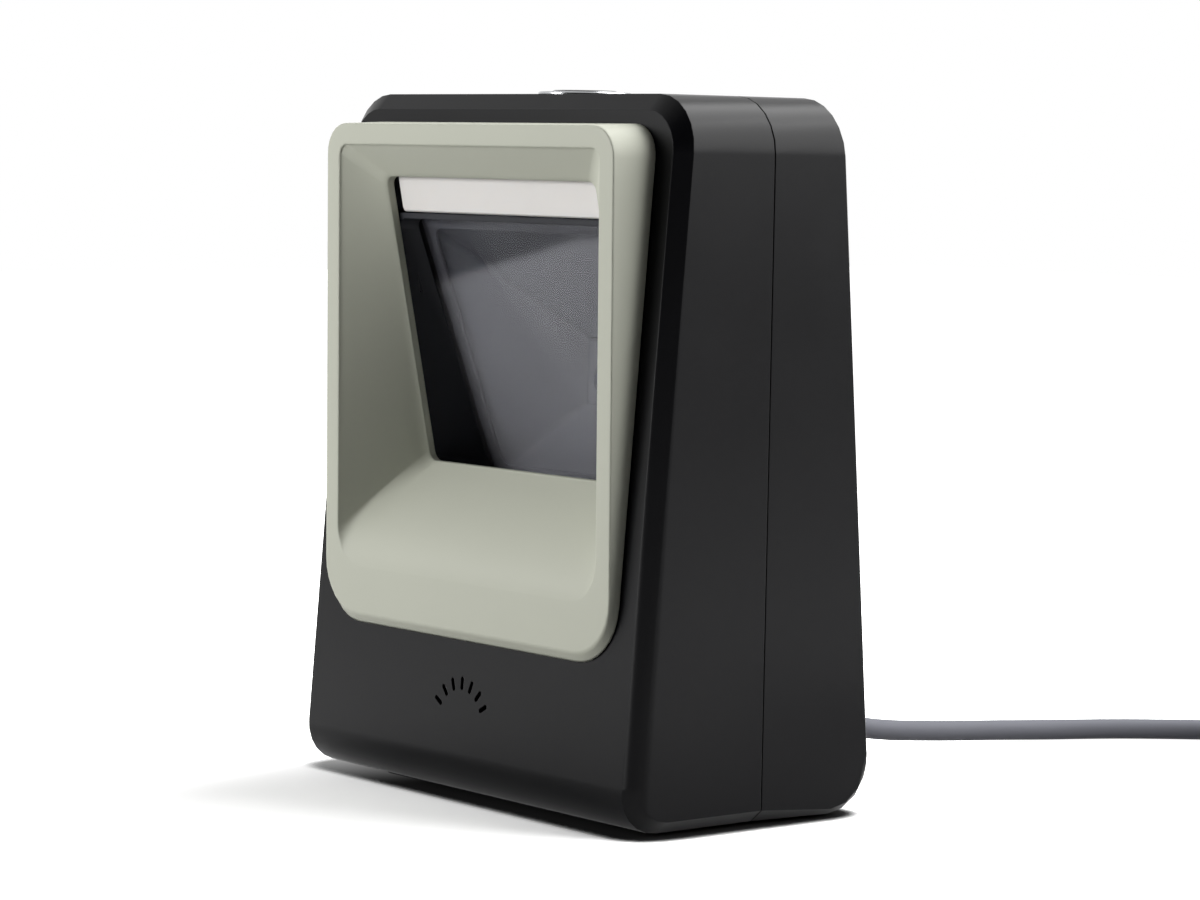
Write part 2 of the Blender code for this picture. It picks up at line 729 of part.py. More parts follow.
def make_bezel():
    """Bezel ring: flanks, flat front rim, funnel with its ramp, lip and seat."""
    rings = [ring(bezel_outline(), shifted(front_plane, -GAP)), ring(rim_outline(), bezel_plane)]
    mouth = ring(funnel_outline(), shifted(bezel_plane, FUNNEL_EDGE / 2.0))
    window = ring(window_outline(), window_plane)
    rings.append(ring(funnel_outline(FUNNEL_EDGE), bezel_plane))
    rings.append(mouth)
    downs = [max(0.0, (FUNNEL_LOW + FUNNEL_LOW_CORNER - point.z) / FUNNEL_LOW_CORNER)
             for point in mouth]
    for t in FUNNEL_STEPS:
        row = []
        for start, end, down in zip(mouth, window, downs):
            bend = start.lerp(end, 0.5).lerp(start + Vector((0.0, 0.0, RAMP_ROUND)), down)
            row.append(start * (1.0 - t) ** 2 + bend * 2.0 * t * (1.0 - t) + end * t ** 2)
        rings.append(row)
    rings.append(window)
    rings.append(ring(window_outline(), shifted(window_plane, LIP)))
    back = ring(window_outline(LIP), shifted(window_plane, LIP))
    seat = ring(bezel_outline(BEZEL_SEAT + GAP), shifted(front_plane, -GAP))
    rings.append(back)
    rings.append([inner.lerp(outer, 0.5) + Vector((0.0, BEZEL_BELLY, 0.0))
                  for inner, outer in zip(back, seat)])
    rings.append(seat)
    bezel = loft("front_bezel", rings, "taupe_abs", joined=True)
    for i, (x, z) in enumerate(bezel_screw_places(), start=1):
        hole = rod("bezel_pilot_%d" % i, SMALL_SCREW_RADIUS + GAP, SMALL_BITE + 2.0, "taupe_abs",
                   (x, front_plane(z) - GAP + 2.0, z), AGAINST_Y)
        combine(bezel, hole, "DIFFERENCE")


def make_shroud():
    """Black walls between the bezel's lip and the glass."""
    front = shifted(window_plane, LIP + GAP)
    back = shifted(glass_plane, -GAP)

    def front_outline(grow):
        return outline(SHROUD_HALF + grow, WINDOW_LOW - GAP - grow, SHROUD_HIGH + grow,
                       WINDOW_CORNER, WINDOW_CORNER)

    rings = [
        ring(front_outline(0.0), front),
        ring(glass_outline(), back),
        ring(glass_outline(SHROUD_WALL), back),
        ring(front_outline(SHROUD_WALL), front),
    ]
    loft("window_shroud", rings, "black_polycarbonate", joined=True)


def make_glass():
    """Tilted glass pane and the foam frame behind it."""
    edge = glass_outline(GLASS_BORDER)
    loft("scan_window", [ring(edge, glass_plane), ring(edge, shifted(glass_plane, GLASS_DEPTH))],
         "window_glass")
    near = shifted(glass_plane, GLASS_DEPTH + GAP)
    far = shifted(near, GASKET_DEPTH)
    inner = glass_outline(-GASKET_INNER)
    rings = [ring(edge, near), ring(edge, far), ring(inner, far), ring(inner, near)]
    loft("window_gasket", rings, "grey_foam", joined=True)


# Imager and main board: both stand off the rear wall
IMAGER_BOARD_BACK = rear_inside(AXIS_Z + IMAGER_HEIGHT / 2.0) - IMAGER_CLEAR
IMAGER_BACK = IMAGER_BOARD_BACK - BOARD - GAP
IMAGER_FRONT = IMAGER_BACK - IMAGER_DEPTH
IMAGER_BOARD_LOW = AXIS_Z - IMAGER_HEIGHT / 2.0 - IMAGER_TAIL
MAIN_HIGH = MAIN_LOW + MAIN_HEIGHT
MAIN_BACK = rear_inside(MAIN_HIGH) - MAIN_CLEAR
MAIN_FRONT = MAIN_BACK - BOARD
BUTTON_BOARD_HIGH = HEIGHT - WALL - COLLAR_HEIGHT - 2.0 * GAP


def make_tunnel():
    """Pyramid-shaped tunnel between the glass and the imager."""
    near = shifted(glass_plane, GLASS_DEPTH + GASKET_DEPTH + 2.0 * GAP)
    flange_back = shifted(near, TUNNEL_FLANGE)
    mouth = glass_outline(-GASKET_INNER)
    throat = [(x * THROAT_SHARE, AXIS_Z + (z - AXIS_Z) * THROAT_SHARE) for x, z in mouth]
    grow = 1.0 + SHROUD_WALL / max(x for x, _ in throat)
    throat_outer = [(x * grow, AXIS_Z + (z - AXIS_Z) * grow) for x, z in throat]
    end = level(IMAGER_FRONT - GAP)
    rings = [
        ring(mouth, near),
        ring(throat, end),
        ring(throat_outer, end),
        ring(glass_outline(SHROUD_WALL - GASKET_INNER), flange_back),
        ring(glass_outline(GLASS_BORDER), flange_back),
        ring(glass_outline(GLASS_BORDER), near),
    ]
    loft("light_tunnel", rings, "black_polycarbonate", joined=True)


def main_screw_places():
    """Across and up for the two screws of the main board."""
    across = MAIN_WIDTH / 2.0 - POST_RADIUS - 1.0
    return [(side * across, MAIN_HIGH - POST_RADIUS - 1.0) for side in (-1.0, 1.0)]


def imager_screw_places():
    """Across and up for the two screws of the imager's board."""
    across = IMAGER_WIDTH / 2.0 + IMAGER_EAR / 2.0
    return [(side * across, AXIS_Z) for side in (-1.0, 1.0)]


def make_light_bar():
    """White diffuser with its LEDs, their board and the black holder behind."""
    half = WINDOW_HALF - BAR_SIDE
    high = WINDOW_HIGH + GAP
    front = shifted(window_plane, LIP + GAP)
    body = outline(half, BAR_LOW, high, BAR_END, BAR_END)
    inner = outline(half - GAP, BAR_LOW + GAP, high - GAP, BAR_END, BAR_END)
    rings = [ring(inner, front), ring(body, shifted(front, GAP)), ring(body, shifted(front, BAR_DEPTH))]
    loft("light_bar_diffuser", rings, "opal_polycarbonate")
    middle = (BAR_LOW + high) / 2.0
    led_front = front(BAR_LOW) + BAR_DEPTH + GAP
    for i in range(LED_COUNT):
        x = half * (2.0 * (i + 0.5) / LED_COUNT - 1.0)
        block("light_bar_led_%d" % (i + 1), (LED_WIDTH, LED_DEPTH, LED_WIDTH),
              (x, led_front + LED_DEPTH / 2.0, middle + GAP), "led_resin")
    board_front = led_front + LED_DEPTH + GAP
    board_low = SHROUD_HIGH + GLASS_BORDER + GAP
    board_high = high + 2.0
    block("light_bar_board", (2.0 * SHROUD_HALF, BOARD, board_high - board_low),
          (0.0, board_front + BOARD / 2.0, (board_low + board_high) / 2.0), "circuit_board")
    back = board_front + BOARD + GAP
    left = SHROUD_HALF + GAP
    wall = SHROUD_WALL
    holder_front = front(BAR_LOW)
    channel = [(-left - wall, holder_front), (-left, holder_front), (-left, back), (left, back),
               (left, holder_front), (left + wall, holder_front), (left + wall, back + wall),
               (-left - wall, back + wall)]
    rows = [[Vector((x, y, z)) for x, y in channel] for z in (board_low, board_high)]
    loft("light_bar_holder", rows, "black_polycarbonate")
    return board_front + BOARD + GAP + wall


def make_imager():
    """Camera engine at the tunnel's throat, on its own board."""
    block("imager_body", (IMAGER_WIDTH, IMAGER_DEPTH, IMAGER_HEIGHT),
          (0.0, IMAGER_FRONT + IMAGER_DEPTH / 2.0, AXIS_Z), "black_polycarbonate", IMAGER_EDGE)
    barrel_front = IMAGER_FRONT - GAP - BARREL_LENGTH
    inner = LENS_RADIUS + GAP
    seat = BARREL_LENGTH - LENS_DEPTH - GAP
    profile = ((0.0, seat), (inner, seat), (inner, BARREL_LENGTH),
               (BARREL_RADIUS - BARREL_EDGE, BARREL_LENGTH), (BARREL_RADIUS, BARREL_LENGTH - BARREL_EDGE),
               (BARREL_RADIUS, 0.0), (0.0, 0.0))
    turned("imager_lens_barrel", profile, "black_polycarbonate",
           (0.0, IMAGER_FRONT - GAP, AXIS_Z), AGAINST_Y)
    lens = ((0.0, LENS_DEPTH + LENS_BULGE), (LENS_RADIUS / 2.0, LENS_DEPTH + 0.75 * LENS_BULGE),
            (LENS_RADIUS, LENS_DEPTH), (LENS_RADIUS, 0.0), (0.0, 0.0))
    turned("imager_lens", lens, "lens_glass", (0.0, barrel_front + LENS_DEPTH, AXIS_Z), AGAINST_Y)
    rod("aimer_lens", AIMER_RADIUS, AIMER_LENGTH, "led_resin",
        (AIMER_OFFSET, IMAGER_FRONT - GAP, AXIS_Z), AGAINST_Y)
    width = IMAGER_WIDTH + 2.0 * IMAGER_EAR
    high = AXIS_Z + IMAGER_HEIGHT / 2.0
    board = block("imager_board", (width, BOARD, high - IMAGER_BOARD_LOW),
                  (0.0, IMAGER_BACK + GAP + BOARD / 2.0, (high + IMAGER_BOARD_LOW) / 2.0),
                  "circuit_board")
    screw_holes(board, "imager_board_hole", imager_screw_places(), IMAGER_BOARD_BACK)
    for i, (x, z) in enumerate(imager_screw_places(), start=1):
        small_screw("imager_screw_%d" % i, x, IMAGER_BACK, z, ALONG_Y, BOARD + 2.0 * GAP)


def screw_holes(board, name, places, back):
    """Clearance holes for a board's screws."""
    for i, (x, z) in enumerate(places, start=1):
        hole = rod("%s_%d" % (name, i), SMALL_SCREW_RADIUS + GAP, 4.0 * BOARD, "circuit_board",
                   (x, back - 2.0 * BOARD, z), ALONG_Y)
        combine(board, hole, "DIFFERENCE")


def small_screw(name, x, y, z, rotation, grip):
    """Small pan-head screw, its head resting just clear of the face at y."""
    reach = grip + SMALL_BITE
    profile = ((0.0, reach), (SMALL_SCREW_RADIUS * 0.5, reach), (SMALL_SCREW_RADIUS, reach - 0.5),
               (SMALL_SCREW_RADIUS, 0.0), (SMALL_HEAD_RADIUS, 0.0),
               (SMALL_HEAD_RADIUS, -SMALL_HEAD_HEIGHT * 0.6),
               (SMALL_HEAD_RADIUS * 0.7, -SMALL_HEAD_HEIGHT), (0.0, -SMALL_HEAD_HEIGHT))
    turned(name, profile, "steel", (x, y, z), rotation, sides=10)


def make_main_board():
    """Main board with its chips, sockets and the ribbon up to the imager."""
    middle = (MAIN_LOW + MAIN_HIGH) / 2.0
    board = block("main_board", (MAIN_WIDTH, BOARD, MAIN_HEIGHT),
                  (0.0, MAIN_FRONT + BOARD / 2.0, middle), "circuit_board")
    screw_holes(board, "main_board_hole", main_screw_places(), MAIN_BACK)
    for i, (x, z) in enumerate(main_screw_places(), start=1):
        small_screw("main_screw_%d" % i, x, MAIN_FRONT - GAP, z, ALONG_Y, BOARD + 2.0 * GAP)
    chip_y = MAIN_FRONT - GAP - CHIP_HEIGHT / 2.0
    chip_x = MAIN_WIDTH * CHIP_SHARE
    block("processor_chip", (PROCESSOR_SIZE, CHIP_HEIGHT, PROCESSOR_SIZE), (chip_x, chip_y, middle),
          "chip_epoxy")
    block("memory_chip", (MEMORY_WIDTH, CHIP_HEIGHT, MEMORY_HEIGHT), (-chip_x, chip_y, middle),
          "chip_epoxy")
    socket_y = MAIN_FRONT - GAP - SOCKET_DEPTH / 2.0
    socket_z = MAIN_HIGH - SOCKET_DROP
    block("flex_socket", (FLEX_WIDTH + 2.0 * SOCKET_MARGIN, SOCKET_DEPTH, SOCKET_HEIGHT),
          (0.0, socket_y, socket_z), "cream_nylon")
    make_ribbon(socket_y, socket_z + SOCKET_HEIGHT / 2.0 + GAP)
    plug_y = MAIN_FRONT - GAP - CABLE_SOCKET_DEPTH / 2.0
    cable_z = MAIN_LOW + CABLE_SOCKET_RISE
    block("cable_socket", (CABLE_SOCKET_WIDTH, CABLE_SOCKET_DEPTH, CABLE_SOCKET_HEIGHT),
          (0.0, plug_y, cable_z), "cream_nylon")
    plug_low = cable_z - CABLE_SOCKET_HEIGHT / 2.0 - GAP - CABLE_PLUG_HEIGHT
    inset = 2.0 * CABLE_PLUG_INSET
    block("cable_plug", (CABLE_SOCKET_WIDTH - inset, CABLE_SOCKET_DEPTH - inset, CABLE_PLUG_HEIGHT),
          (0.0, plug_y, plug_low + CABLE_PLUG_HEIGHT / 2.0), "cream_nylon")
    return plug_y, plug_low


def make_ribbon(start_y, low):
    """Flat ribbon from the main board's socket up to the imager's board."""
    end_y = IMAGER_BACK - FLEX_THICKNESS
    high = IMAGER_BOARD_LOW + IMAGER_TAIL - FLEX_LAP
    rows = []
    for step in range(FLEX_STEPS + 1):
        t = step / FLEX_STEPS
        y = start_y + (end_y - start_y) * t ** 2 * (3.0 - 2.0 * t)
        y -= FLEX_BULGE * math.sin(math.pi * t) ** 2
        z = low + (high - low) * t
        half = FLEX_WIDTH / 2.0
        rows.append([Vector((-half, y, z)), Vector((half, y, z)),
                     Vector((half, y + FLEX_THICKNESS, z)), Vector((-half, y + FLEX_THICKNESS, z))])
    loft("imager_flex", rows, "polyimide")


def make_inner_leads(plug_y, plug_low, light_back):
    """Thin leads inside the housing."""
    start = rear_inside(EXIT_Z) - WALL - GAP
    bundle = ((0.0, start, EXIT_Z), (0.0, start - LEAD_BEND / 2.0, EXIT_Z),
              (0.0, plug_y + LEAD_BEND, EXIT_Z), (0.0, plug_y, EXIT_Z + LEAD_BEND),
              (0.0, plug_y, plug_low - GAP))
    tube("lead_bundle", smooth_points(bundle, LEAD_DIAMETER), 2.0 * LEAD_DIAMETER, "black_rubber")
    end_y = MAIN_FRONT - GAP
    side = MAIN_WIDTH / 2.0 - LEAD_INSET
    back = beeper_place(BEEPER_GASKET + BEEPER_DEPTH + 3.0 * GAP).y
    low_end = MAIN_LOW + LEAD_RISE
    beeper = ((LEAD_DIAMETER, back, BEEPER_Z), (LEAD_DIAMETER, back + LEAD_BEND, BEEPER_Z),
              (LEAD_INSET, back + LEAD_DROP, BEEPER_Z - LEAD_DIAMETER),
              (side - LEAD_RISE, end_y - LEAD_DROP, low_end - LEAD_DIAMETER),
              (side, end_y - LEAD_BEND, low_end), (side, end_y, low_end))
    tube("beeper_lead", smooth_points(beeper, LEAD_SPACING), LEAD_DIAMETER, "black_rubber", 1)
    drop = WINDOW_HALF + LEAD_BESIDE
    board_z = BUTTON_BOARD_HIGH - BOARD - 2.0 * GAP
    button = [(LEAD_INSET, BUTTON_Y, board_z), (LEAD_INSET, BUTTON_Y, board_z - LEAD_BEND),
              (drop - LEAD_BESIDE, LEAD_BEND, board_z - LEAD_DROP), *lead_fall(drop, side, end_y)]
    tube("button_lead", smooth_points(button, LEAD_SPACING), LEAD_DIAMETER, "black_rubber", 1)
    bar_z = BAR_LOW + BAR_HEIGHT / 2.0
    light = [(LEAD_DROP - drop, light_back + GAP, bar_z), (LEAD_DROP - drop, light_back + LEAD_BEND, bar_z),
             (-drop, LEAD_BEND, bar_z - LEAD_DROP), *lead_fall(-drop, -side, end_y)]
    tube("light_bar_lead", smooth_points(light, LEAD_SPACING), LEAD_DIAMETER, "black_rubber", 1)


def lead_fall(beside, side, end_y):
    """Points of a lead that comes down beside the imager and turns in to the main board."""
    out = math.copysign(LEAD_INSET, side)
    return [(beside, LEAD_BEHIND, AXIS_Z + LEAD_DROP), (beside, LEAD_BEHIND, AXIS_Z),
            (side + out, end_y - LEAD_INSET, MAIN_HIGH - LEAD_INSET),
            (side, end_y - LEAD_BEND, MAIN_HIGH - LEAD_DROP), (side, end_y, MAIN_HIGH - LEAD_DROP)]


def beeper_place(behind):
    """Point on the beeper's axis a given way behind the inside of the front wall."""
    lean = math.atan(LEAN)
    start = Vector((0.0, front_plane(BEEPER_Z), BEEPER_Z))
    return start + Vector((0.0, math.cos(lean), -math.sin(lean))) * (WALL * math.cos(lean) + behind)


def make_beeper():
    """Beeper capsule and the foam ring that seals it round the slots."""
    tilt = (math.radians(-90.0) - math.atan(LEAN), 0.0, 0.0)
    outer = BEEPER_RADIUS
    inner = outer - BEEPER_RIM
    profile = ((outer, BEEPER_GASKET), (outer, 0.0), (inner, 0.0), (inner, BEEPER_GASKET))
    turned("beeper_gasket", profile, "grey_foam", beeper_place(GAP), tilt)
    place = beeper_place(BEEPER_GASKET + 2.0 * GAP)
    rod("beeper", BEEPER_RADIUS, BEEPER_DEPTH, "chip_epoxy", place, tilt, BEEPER_EDGE)


def make_button():
    """Push button in its collar, with its return spring, switch and board."""
    roof_low = HEIGHT - WALL
    top = BUTTON_PROUD + WALL
    skirt_low = -GAP - COLLAR_HEIGHT
    bore = BUTTON_RADIUS + GAP
    room = BUTTON_RADIUS + BUTTON_LIP + GAP
    neck = COLLAR_RADIUS - COLLAR_NECK
    shoulder = -GAP
    outer = room + COLLAR_SKIRT
    clip = outer + COLLAR_CLIP
    crown = WALL + COLLAR_PROUD
    place = (0.0, BUTTON_Y, roof_low)
    collar = ((bore, crown), (COLLAR_RADIUS - COLLAR_EDGE, crown), (COLLAR_RADIUS, crown - COLLAR_EDGE),
              (COLLAR_RADIUS, WALL + GAP), (neck, WALL + GAP), (neck, shoulder), (clip, shoulder),
              (clip, shoulder - COLLAR_SKIRT), (outer, shoulder - COLLAR_SKIRT), (outer, skirt_low),
              (room, skirt_low), (room, shoulder), (bore, shoulder))
    turned("button_collar", collar, "polished_metal", place, sides=32)
    flange_high = shoulder - GAP
    flange_low = flange_high - BUTTON_FLANGE
    board_high = BUTTON_BOARD_HIGH - roof_low
    stem_low = board_high + SWITCH_HEIGHT + 2.0 * GAP + BUTTON_TRAVEL
    soft = BUTTON_EDGE / 3.0
    button = ((0.0, top), (BUTTON_RADIUS - BUTTON_EDGE, top), (BUTTON_RADIUS - soft, top - soft),
              (BUTTON_RADIUS, top - BUTTON_EDGE), (BUTTON_RADIUS, flange_high),
              (BUTTON_RADIUS + BUTTON_LIP, flange_high), (BUTTON_RADIUS + BUTTON_LIP, flange_low),
              (STEM_RADIUS, flange_low), (STEM_RADIUS, stem_low), (0.0, stem_low))
    turned("trigger_button", button, "gloss_black", place, sides=32)
    spring_low = roof_low + board_high + GAP + SPRING_WIRE / 2.0
    spring_high = roof_low + flange_low - GAP - SPRING_WIRE / 2.0
    make_spring(spring_low, spring_high)
    size = 2.0 * outer
    block("button_board", (size, size, BOARD), (0.0, BUTTON_Y, roof_low + board_high - BOARD / 2.0),
          "circuit_board")
    block("button_switch", (SWITCH_SIZE, SWITCH_SIZE, SWITCH_HEIGHT),
          (0.0, BUTTON_Y, roof_low + board_high + GAP + SWITCH_HEIGHT / 2.0), "chip_epoxy")


def make_spring(low, high):
    """Return spring with flat end turns."""
    points = []
    turns = SPRING_TURNS + 2.0
    flat = SPRING_END_RISE * SPRING_WIRE
    for step in range(int(turns * SPRING_POINTS) + 1):
        turn = step / SPRING_POINTS
        climb = min(max((turn - 1.0) / SPRING_TURNS, 0.0), 1.0)
        drift = min(turn, 1.0) * flat + max(turn - turns + 1.0, 0.0) * flat
        angle = math.tau * turn
        towards_end = abs(2.0 * turn / turns - 1.0)
        radius = SPRING_RADIUS + SPRING_FLARE * SPRING_WIRE * towards_end
        z = low + (high - low - 2.0 * flat) * climb + drift
        points.append((radius * math.cos(angle), BUTTON_Y + radius * math.sin(angle), z))
    tube("button_spring", points, SPRING_WIRE, "steel", 1)


def make_screws():
    """Screws that hold the two shells, and the ones behind the bezel's rim."""
    for i, (x, z) in enumerate(housing_screw_places(), start=1):
        head = SEAM_Y + SCREW_SEAT + GAP
        tip = SEAM_Y - SCREW_BITE
        reach = head - tip
        profile = ((0.0, reach), (SCREW_RADIUS * 0.4, reach), (SCREW_RADIUS, reach - 1.2),
                   (SCREW_RADIUS, 0.0), (SCREW_HEAD_RADIUS, 0.0),
                   (SCREW_HEAD_RADIUS, -SCREW_HEAD_HEIGHT * 0.6),
                   (SCREW_HEAD_RADIUS * 0.75, -SCREW_HEAD_HEIGHT), (0.0, -SCREW_HEAD_HEIGHT))
        turned("housing_screw_%d" % i, profile, "steel", (x, head, z), AGAINST_Y, sides=10)
    for i, (x, z) in enumerate(bezel_screw_places(), start=1):
        face = front_plane(z) + WALL + GAP + LEAN * SMALL_HEAD_RADIUS
        small_screw("bezel_screw_%d" % i, x, face, z, AGAINST_Y, WALL + 2.0 * GAP)


def make_strain_relief():
    """Tapered boot held in the rear wall; it starts with a flange inside the wall."""
    inside = rear_inside(EXIT_Z) - LEAN * RELIEF_FLANGE - GAP
    wall_out = rear_plane(EXIT_Z) + LEAN * RELIEF_FLANGE + GAP - inside
    end = wall_out + RELIEF_LENGTH
    shoulder = RELIEF_RADIUS + RELIEF_SHOULDER
    profile = ((0.0, end), (RELIEF_TIP - RELIEF_EDGE, end), (RELIEF_TIP, end - RELIEF_EDGE),
               (shoulder, wall_out + RELIEF_RING), (shoulder, wall_out),
               (RELIEF_RADIUS, wall_out), (RELIEF_RADIUS, 0.0), (RELIEF_FLANGE, 0.0),
               (RELIEF_FLANGE, -RELIEF_RING), (0.0, -RELIEF_RING))
    turned("strain_relief", profile, "black_rubber", (0.0, inside, EXIT_Z), ALONG_Y)
    return inside + end


def heading(degrees):
    """Unit step on the table in a compass direction counted from +X."""
    return Vector((math.cos(math.radians(degrees)), math.sin(math.radians(degrees)), 0.0))


def make_lead(relief_end):
    """Free stretch of the lead, its put-away coil, the tie and the plug."""
    arrive = heading(ARRIVAL_HEADING)
    coil_z = CORD_DIAMETER / 2.0 + COIL_LIFT
    arrival = Vector((*ARRIVAL, coil_z))
    straight = Vector((0.0, relief_end + GAP, EXIT_Z))
    route = [straight] + [Vector(point) for point in ROUTE] + [arrival - arrive * GAP]
    run = smooth_points(route, 2.4 * CORD_DIAMETER)
    tube("usb_cable", run, CORD_DIAMETER, "grey_pvc", 3)
    turns = COIL_LOOPS + (ARRIVAL_HEADING + 90.0 - COIL_EXIT_ANGLE) / 360.0
    tail = TAIL_FLAT + TAIL_FALL + CORD_DIAMETER
    spare = CORD_LENGTH - path_length(run) - RELIEF_LENGTH - tail - CORD_DIAMETER
    mean_radius = spare / (math.tau * turns)
    layer_turns = (turns - 0.5) / 2.0
    outer_radius = mean_radius + COIL_PITCH * (layer_turns + 0.25) / 2.0
    begin = arrival + arrive * CORD_DIAMETER
    centre = begin + heading(ARRIVAL_HEADING - 90.0) * outer_radius
    points = [arrival] + coil_points(centre, outer_radius, layer_turns, turns)
    leave = heading(COIL_EXIT_ANGLE - 90.0)
    points += tail_points(points[-1], leave)
    tube("usb_coil", points, CORD_DIAMETER, "grey_pvc", 1)
    print("coil: mean radius %.1f mm, least gap %.2f mm, lead %.0f mm" % (
        mean_radius, least_gap(points), path_length(run) + path_length(points) + RELIEF_LENGTH))
    make_tie(centre, outer_radius, layer_turns)
    make_plug(points[-1] + leave * GAP, leave)


def coil_points(centre, outer_radius, layer_turns, turns):
    """Spiral in on the low layer, climb in the half turn where it reverses, and spiral out above."""
    points = []
    count = round(turns * COIL_STEPS)
    low = centre.z
    for step in range(count + 1):
        turn = turns * step / count
        inward = min(turn, layer_turns + 0.25) - max(turn - layer_turns - 0.25, 0.0)
        radius = outer_radius - COIL_PITCH * inward
        climb = min(max((turn - layer_turns) / 0.5, 0.0), 1.0)
        climb = climb ** 2 * (3.0 - 2.0 * climb)
        spot = centre + heading(ARRIVAL_HEADING + 90.0 - 360.0 * turn) * radius
        points.append(Vector((spot.x, spot.y, low + COIL_PITCH * climb)))
    return points


def tail_points(start, leave):
    """Straight end of the lead: level off the coil, down to the plug, and level into it."""
    points = []
    fall = start.z - PLUG_HEIGHT / 2.0 - GAP
    for step in range(1, TAIL_POINTS + 1):
        along = (TAIL_FLAT + TAIL_FALL) * step / TAIL_POINTS
        share = min(max((along - TAIL_FLAT) / TAIL_FALL, 0.0), 1.0)
        drop = fall * share ** 2 * (3.0 - 2.0 * share)
        points.append(start + leave * along - Vector((0.0, 0.0, drop)))
    points.append(points[-1] + leave * CORD_DIAMETER)
    return points


def least_gap(points):
    """Smallest gap between stretches of the coil that are not neighbours along it."""
    apart = COIL_STEPS // 2
    nearest = min((first - second).length for i, first in enumerate(points)
                  for second in points[i + apart:])
    return nearest - CORD_DIAMETER


def make_tie(centre, outer_radius, layer_turns):
    """Band round both layers of the coil at one place."""
    room = CORD_DIAMETER / 2.0 + TIE_CLEAR
    near = outer_radius - COIL_PITCH * (layer_turns + 0.25) - room
    far = outer_radius + room
    low = centre.z - room
    high = centre.z + COIL_PITCH + room
    half = (far - near) / 2.0
    corner = TIE_CORNER + TIE_THICKNESS
    inner = outline(half, low, high, TIE_CORNER, TIE_CORNER)
    outer = outline(half + TIE_THICKNESS, low - TIE_THICKNESS, high + TIE_THICKNESS, corner, corner)
    rows = []
    for shape, y in ((outer, -0.5), (outer, 0.5), (inner, 0.5), (inner, -0.5)):
        rows.append([Vector((x, y * TIE_WIDTH, z)) for x, z in shape])
    tie = loft("cable_tie", rows, "black_rubber", joined=True)
    spot = Vector((centre.x, centre.y, 0.0)) + heading(TIE_ANGLE) * ((near + far) / 2.0)
    tie.location = spot * MM
    tie.rotation_euler = (0.0, 0.0, math.radians(TIE_ANGLE))


def make_plug(place, leave):
    """USB plug: moulded grip, metal shell and the contact tongue inside it."""
    facing = math.atan2(leave.y, leave.x)
    turn = Matrix.Rotation(facing - math.pi / 2.0, 3, "Z").to_euler()

    def grip_ring(width, height, along):
        shape = outline(width / 2.0, -height / 2.0, height / 2.0, height / 4.0, height / 4.0)
        return [Vector((x, along, z)) for x, z in shape]

    neck = CORD_DIAMETER + PLUG_NECK_WALL
    flare = PLUG_NECK + PLUG_FLARE
    rings = [grip_ring(neck, neck, 0.0),
             grip_ring(neck + PLUG_EDGE, neck, PLUG_NECK),
             grip_ring(PLUG_WIDTH - 2.0 * PLUG_EDGE, PLUG_HEIGHT, (PLUG_NECK + flare) / 2.0),
             grip_ring(PLUG_WIDTH, PLUG_HEIGHT, flare),
             grip_ring(PLUG_WIDTH, PLUG_HEIGHT, PLUG_LENGTH - PLUG_EDGE),
             grip_ring(PLUG_WIDTH - 2.0 * PLUG_EDGE, PLUG_HEIGHT - 2.0 * PLUG_EDGE, PLUG_LENGTH)]
    grip = loft("usb_plug_grip", rings, "grey_pvc")
    grip.location = place * MM
    grip.rotation_euler = turn
    start = PLUG_LENGTH + GAP
    end = start + PLUG_SHELL_LENGTH

    def shell_ring(inset, along):
        shape = outline(PLUG_SHELL_WIDTH / 2.0 - inset, -PLUG_SHELL_HEIGHT / 2.0 + inset,
                        PLUG_SHELL_HEIGHT / 2.0 - inset, PLUG_SHELL_CORNER - inset,
                        PLUG_SHELL_CORNER - inset)
        return [Vector((x, along, z)) for x, z in shape]

    rings = [shell_ring(0.0, start), shell_ring(0.0, end), shell_ring(PLUG_SHELL_WALL, end),
             shell_ring(PLUG_SHELL_WALL, start + PLUG_SHELL_FLOOR)]
    shell = loft("usb_plug_shell", rings, "steel")
    shell.location = place * MM
    shell.rotation_euler = turn
    tongue_length = PLUG_SHELL_LENGTH - PLUG_SHELL_FLOOR - 3.0 * GAP
    ahead = start + PLUG_SHELL_FLOOR + GAP + tongue_length / 2.0
    tongue_height = PLUG_SHELL_HEIGHT * PLUG_TONGUE_SHARE
    tongue_z = -PLUG_SHELL_HEIGHT / 2.0 + PLUG_SHELL_WALL + GAP + tongue_height / 2.0
    spot = place + leave * ahead + Vector((0.0, 0.0, tongue_z))
    block("usb_plug_tongue", (PLUG_SHELL_WIDTH - 2.0 * PLUG_SHELL_WALL - 2.0 * GAP, tongue_length,
                              tongue_height), spot, "white_nylon", GAP / 2.0, turn)


def main():
    """Build every sub-part."""
    clear_scene()
    make_front_housing()
    make_rear_housing()
    make_base_pad()
    make_bezel()
    make_shroud()
    make_glass()
    make_tunnel()
    light_back = make_light_bar()
    make_imager()
    plug_y, plug_low = make_main_board()
    make_beeper()
    make_inner_leads(plug_y, plug_low, light_back)
    make_button()
    make_screws()
    make_lead(make_strain_relief())


main()
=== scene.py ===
"""Looks of a desktop presentation barcode scanner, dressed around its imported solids.

Lengths are in metres unless a name ends in _mm. X runs across the scanner, Y from its front to its
rear and Z up from the table, as in the solids.
"""
import logging
import math
from abc import ABC, abstractmethod
from collections.abc import Callable, Iterable, Sequence
from dataclasses import dataclass, field
from enum import Enum

import bmesh
import bpy
from mathutils import Matrix, Vector


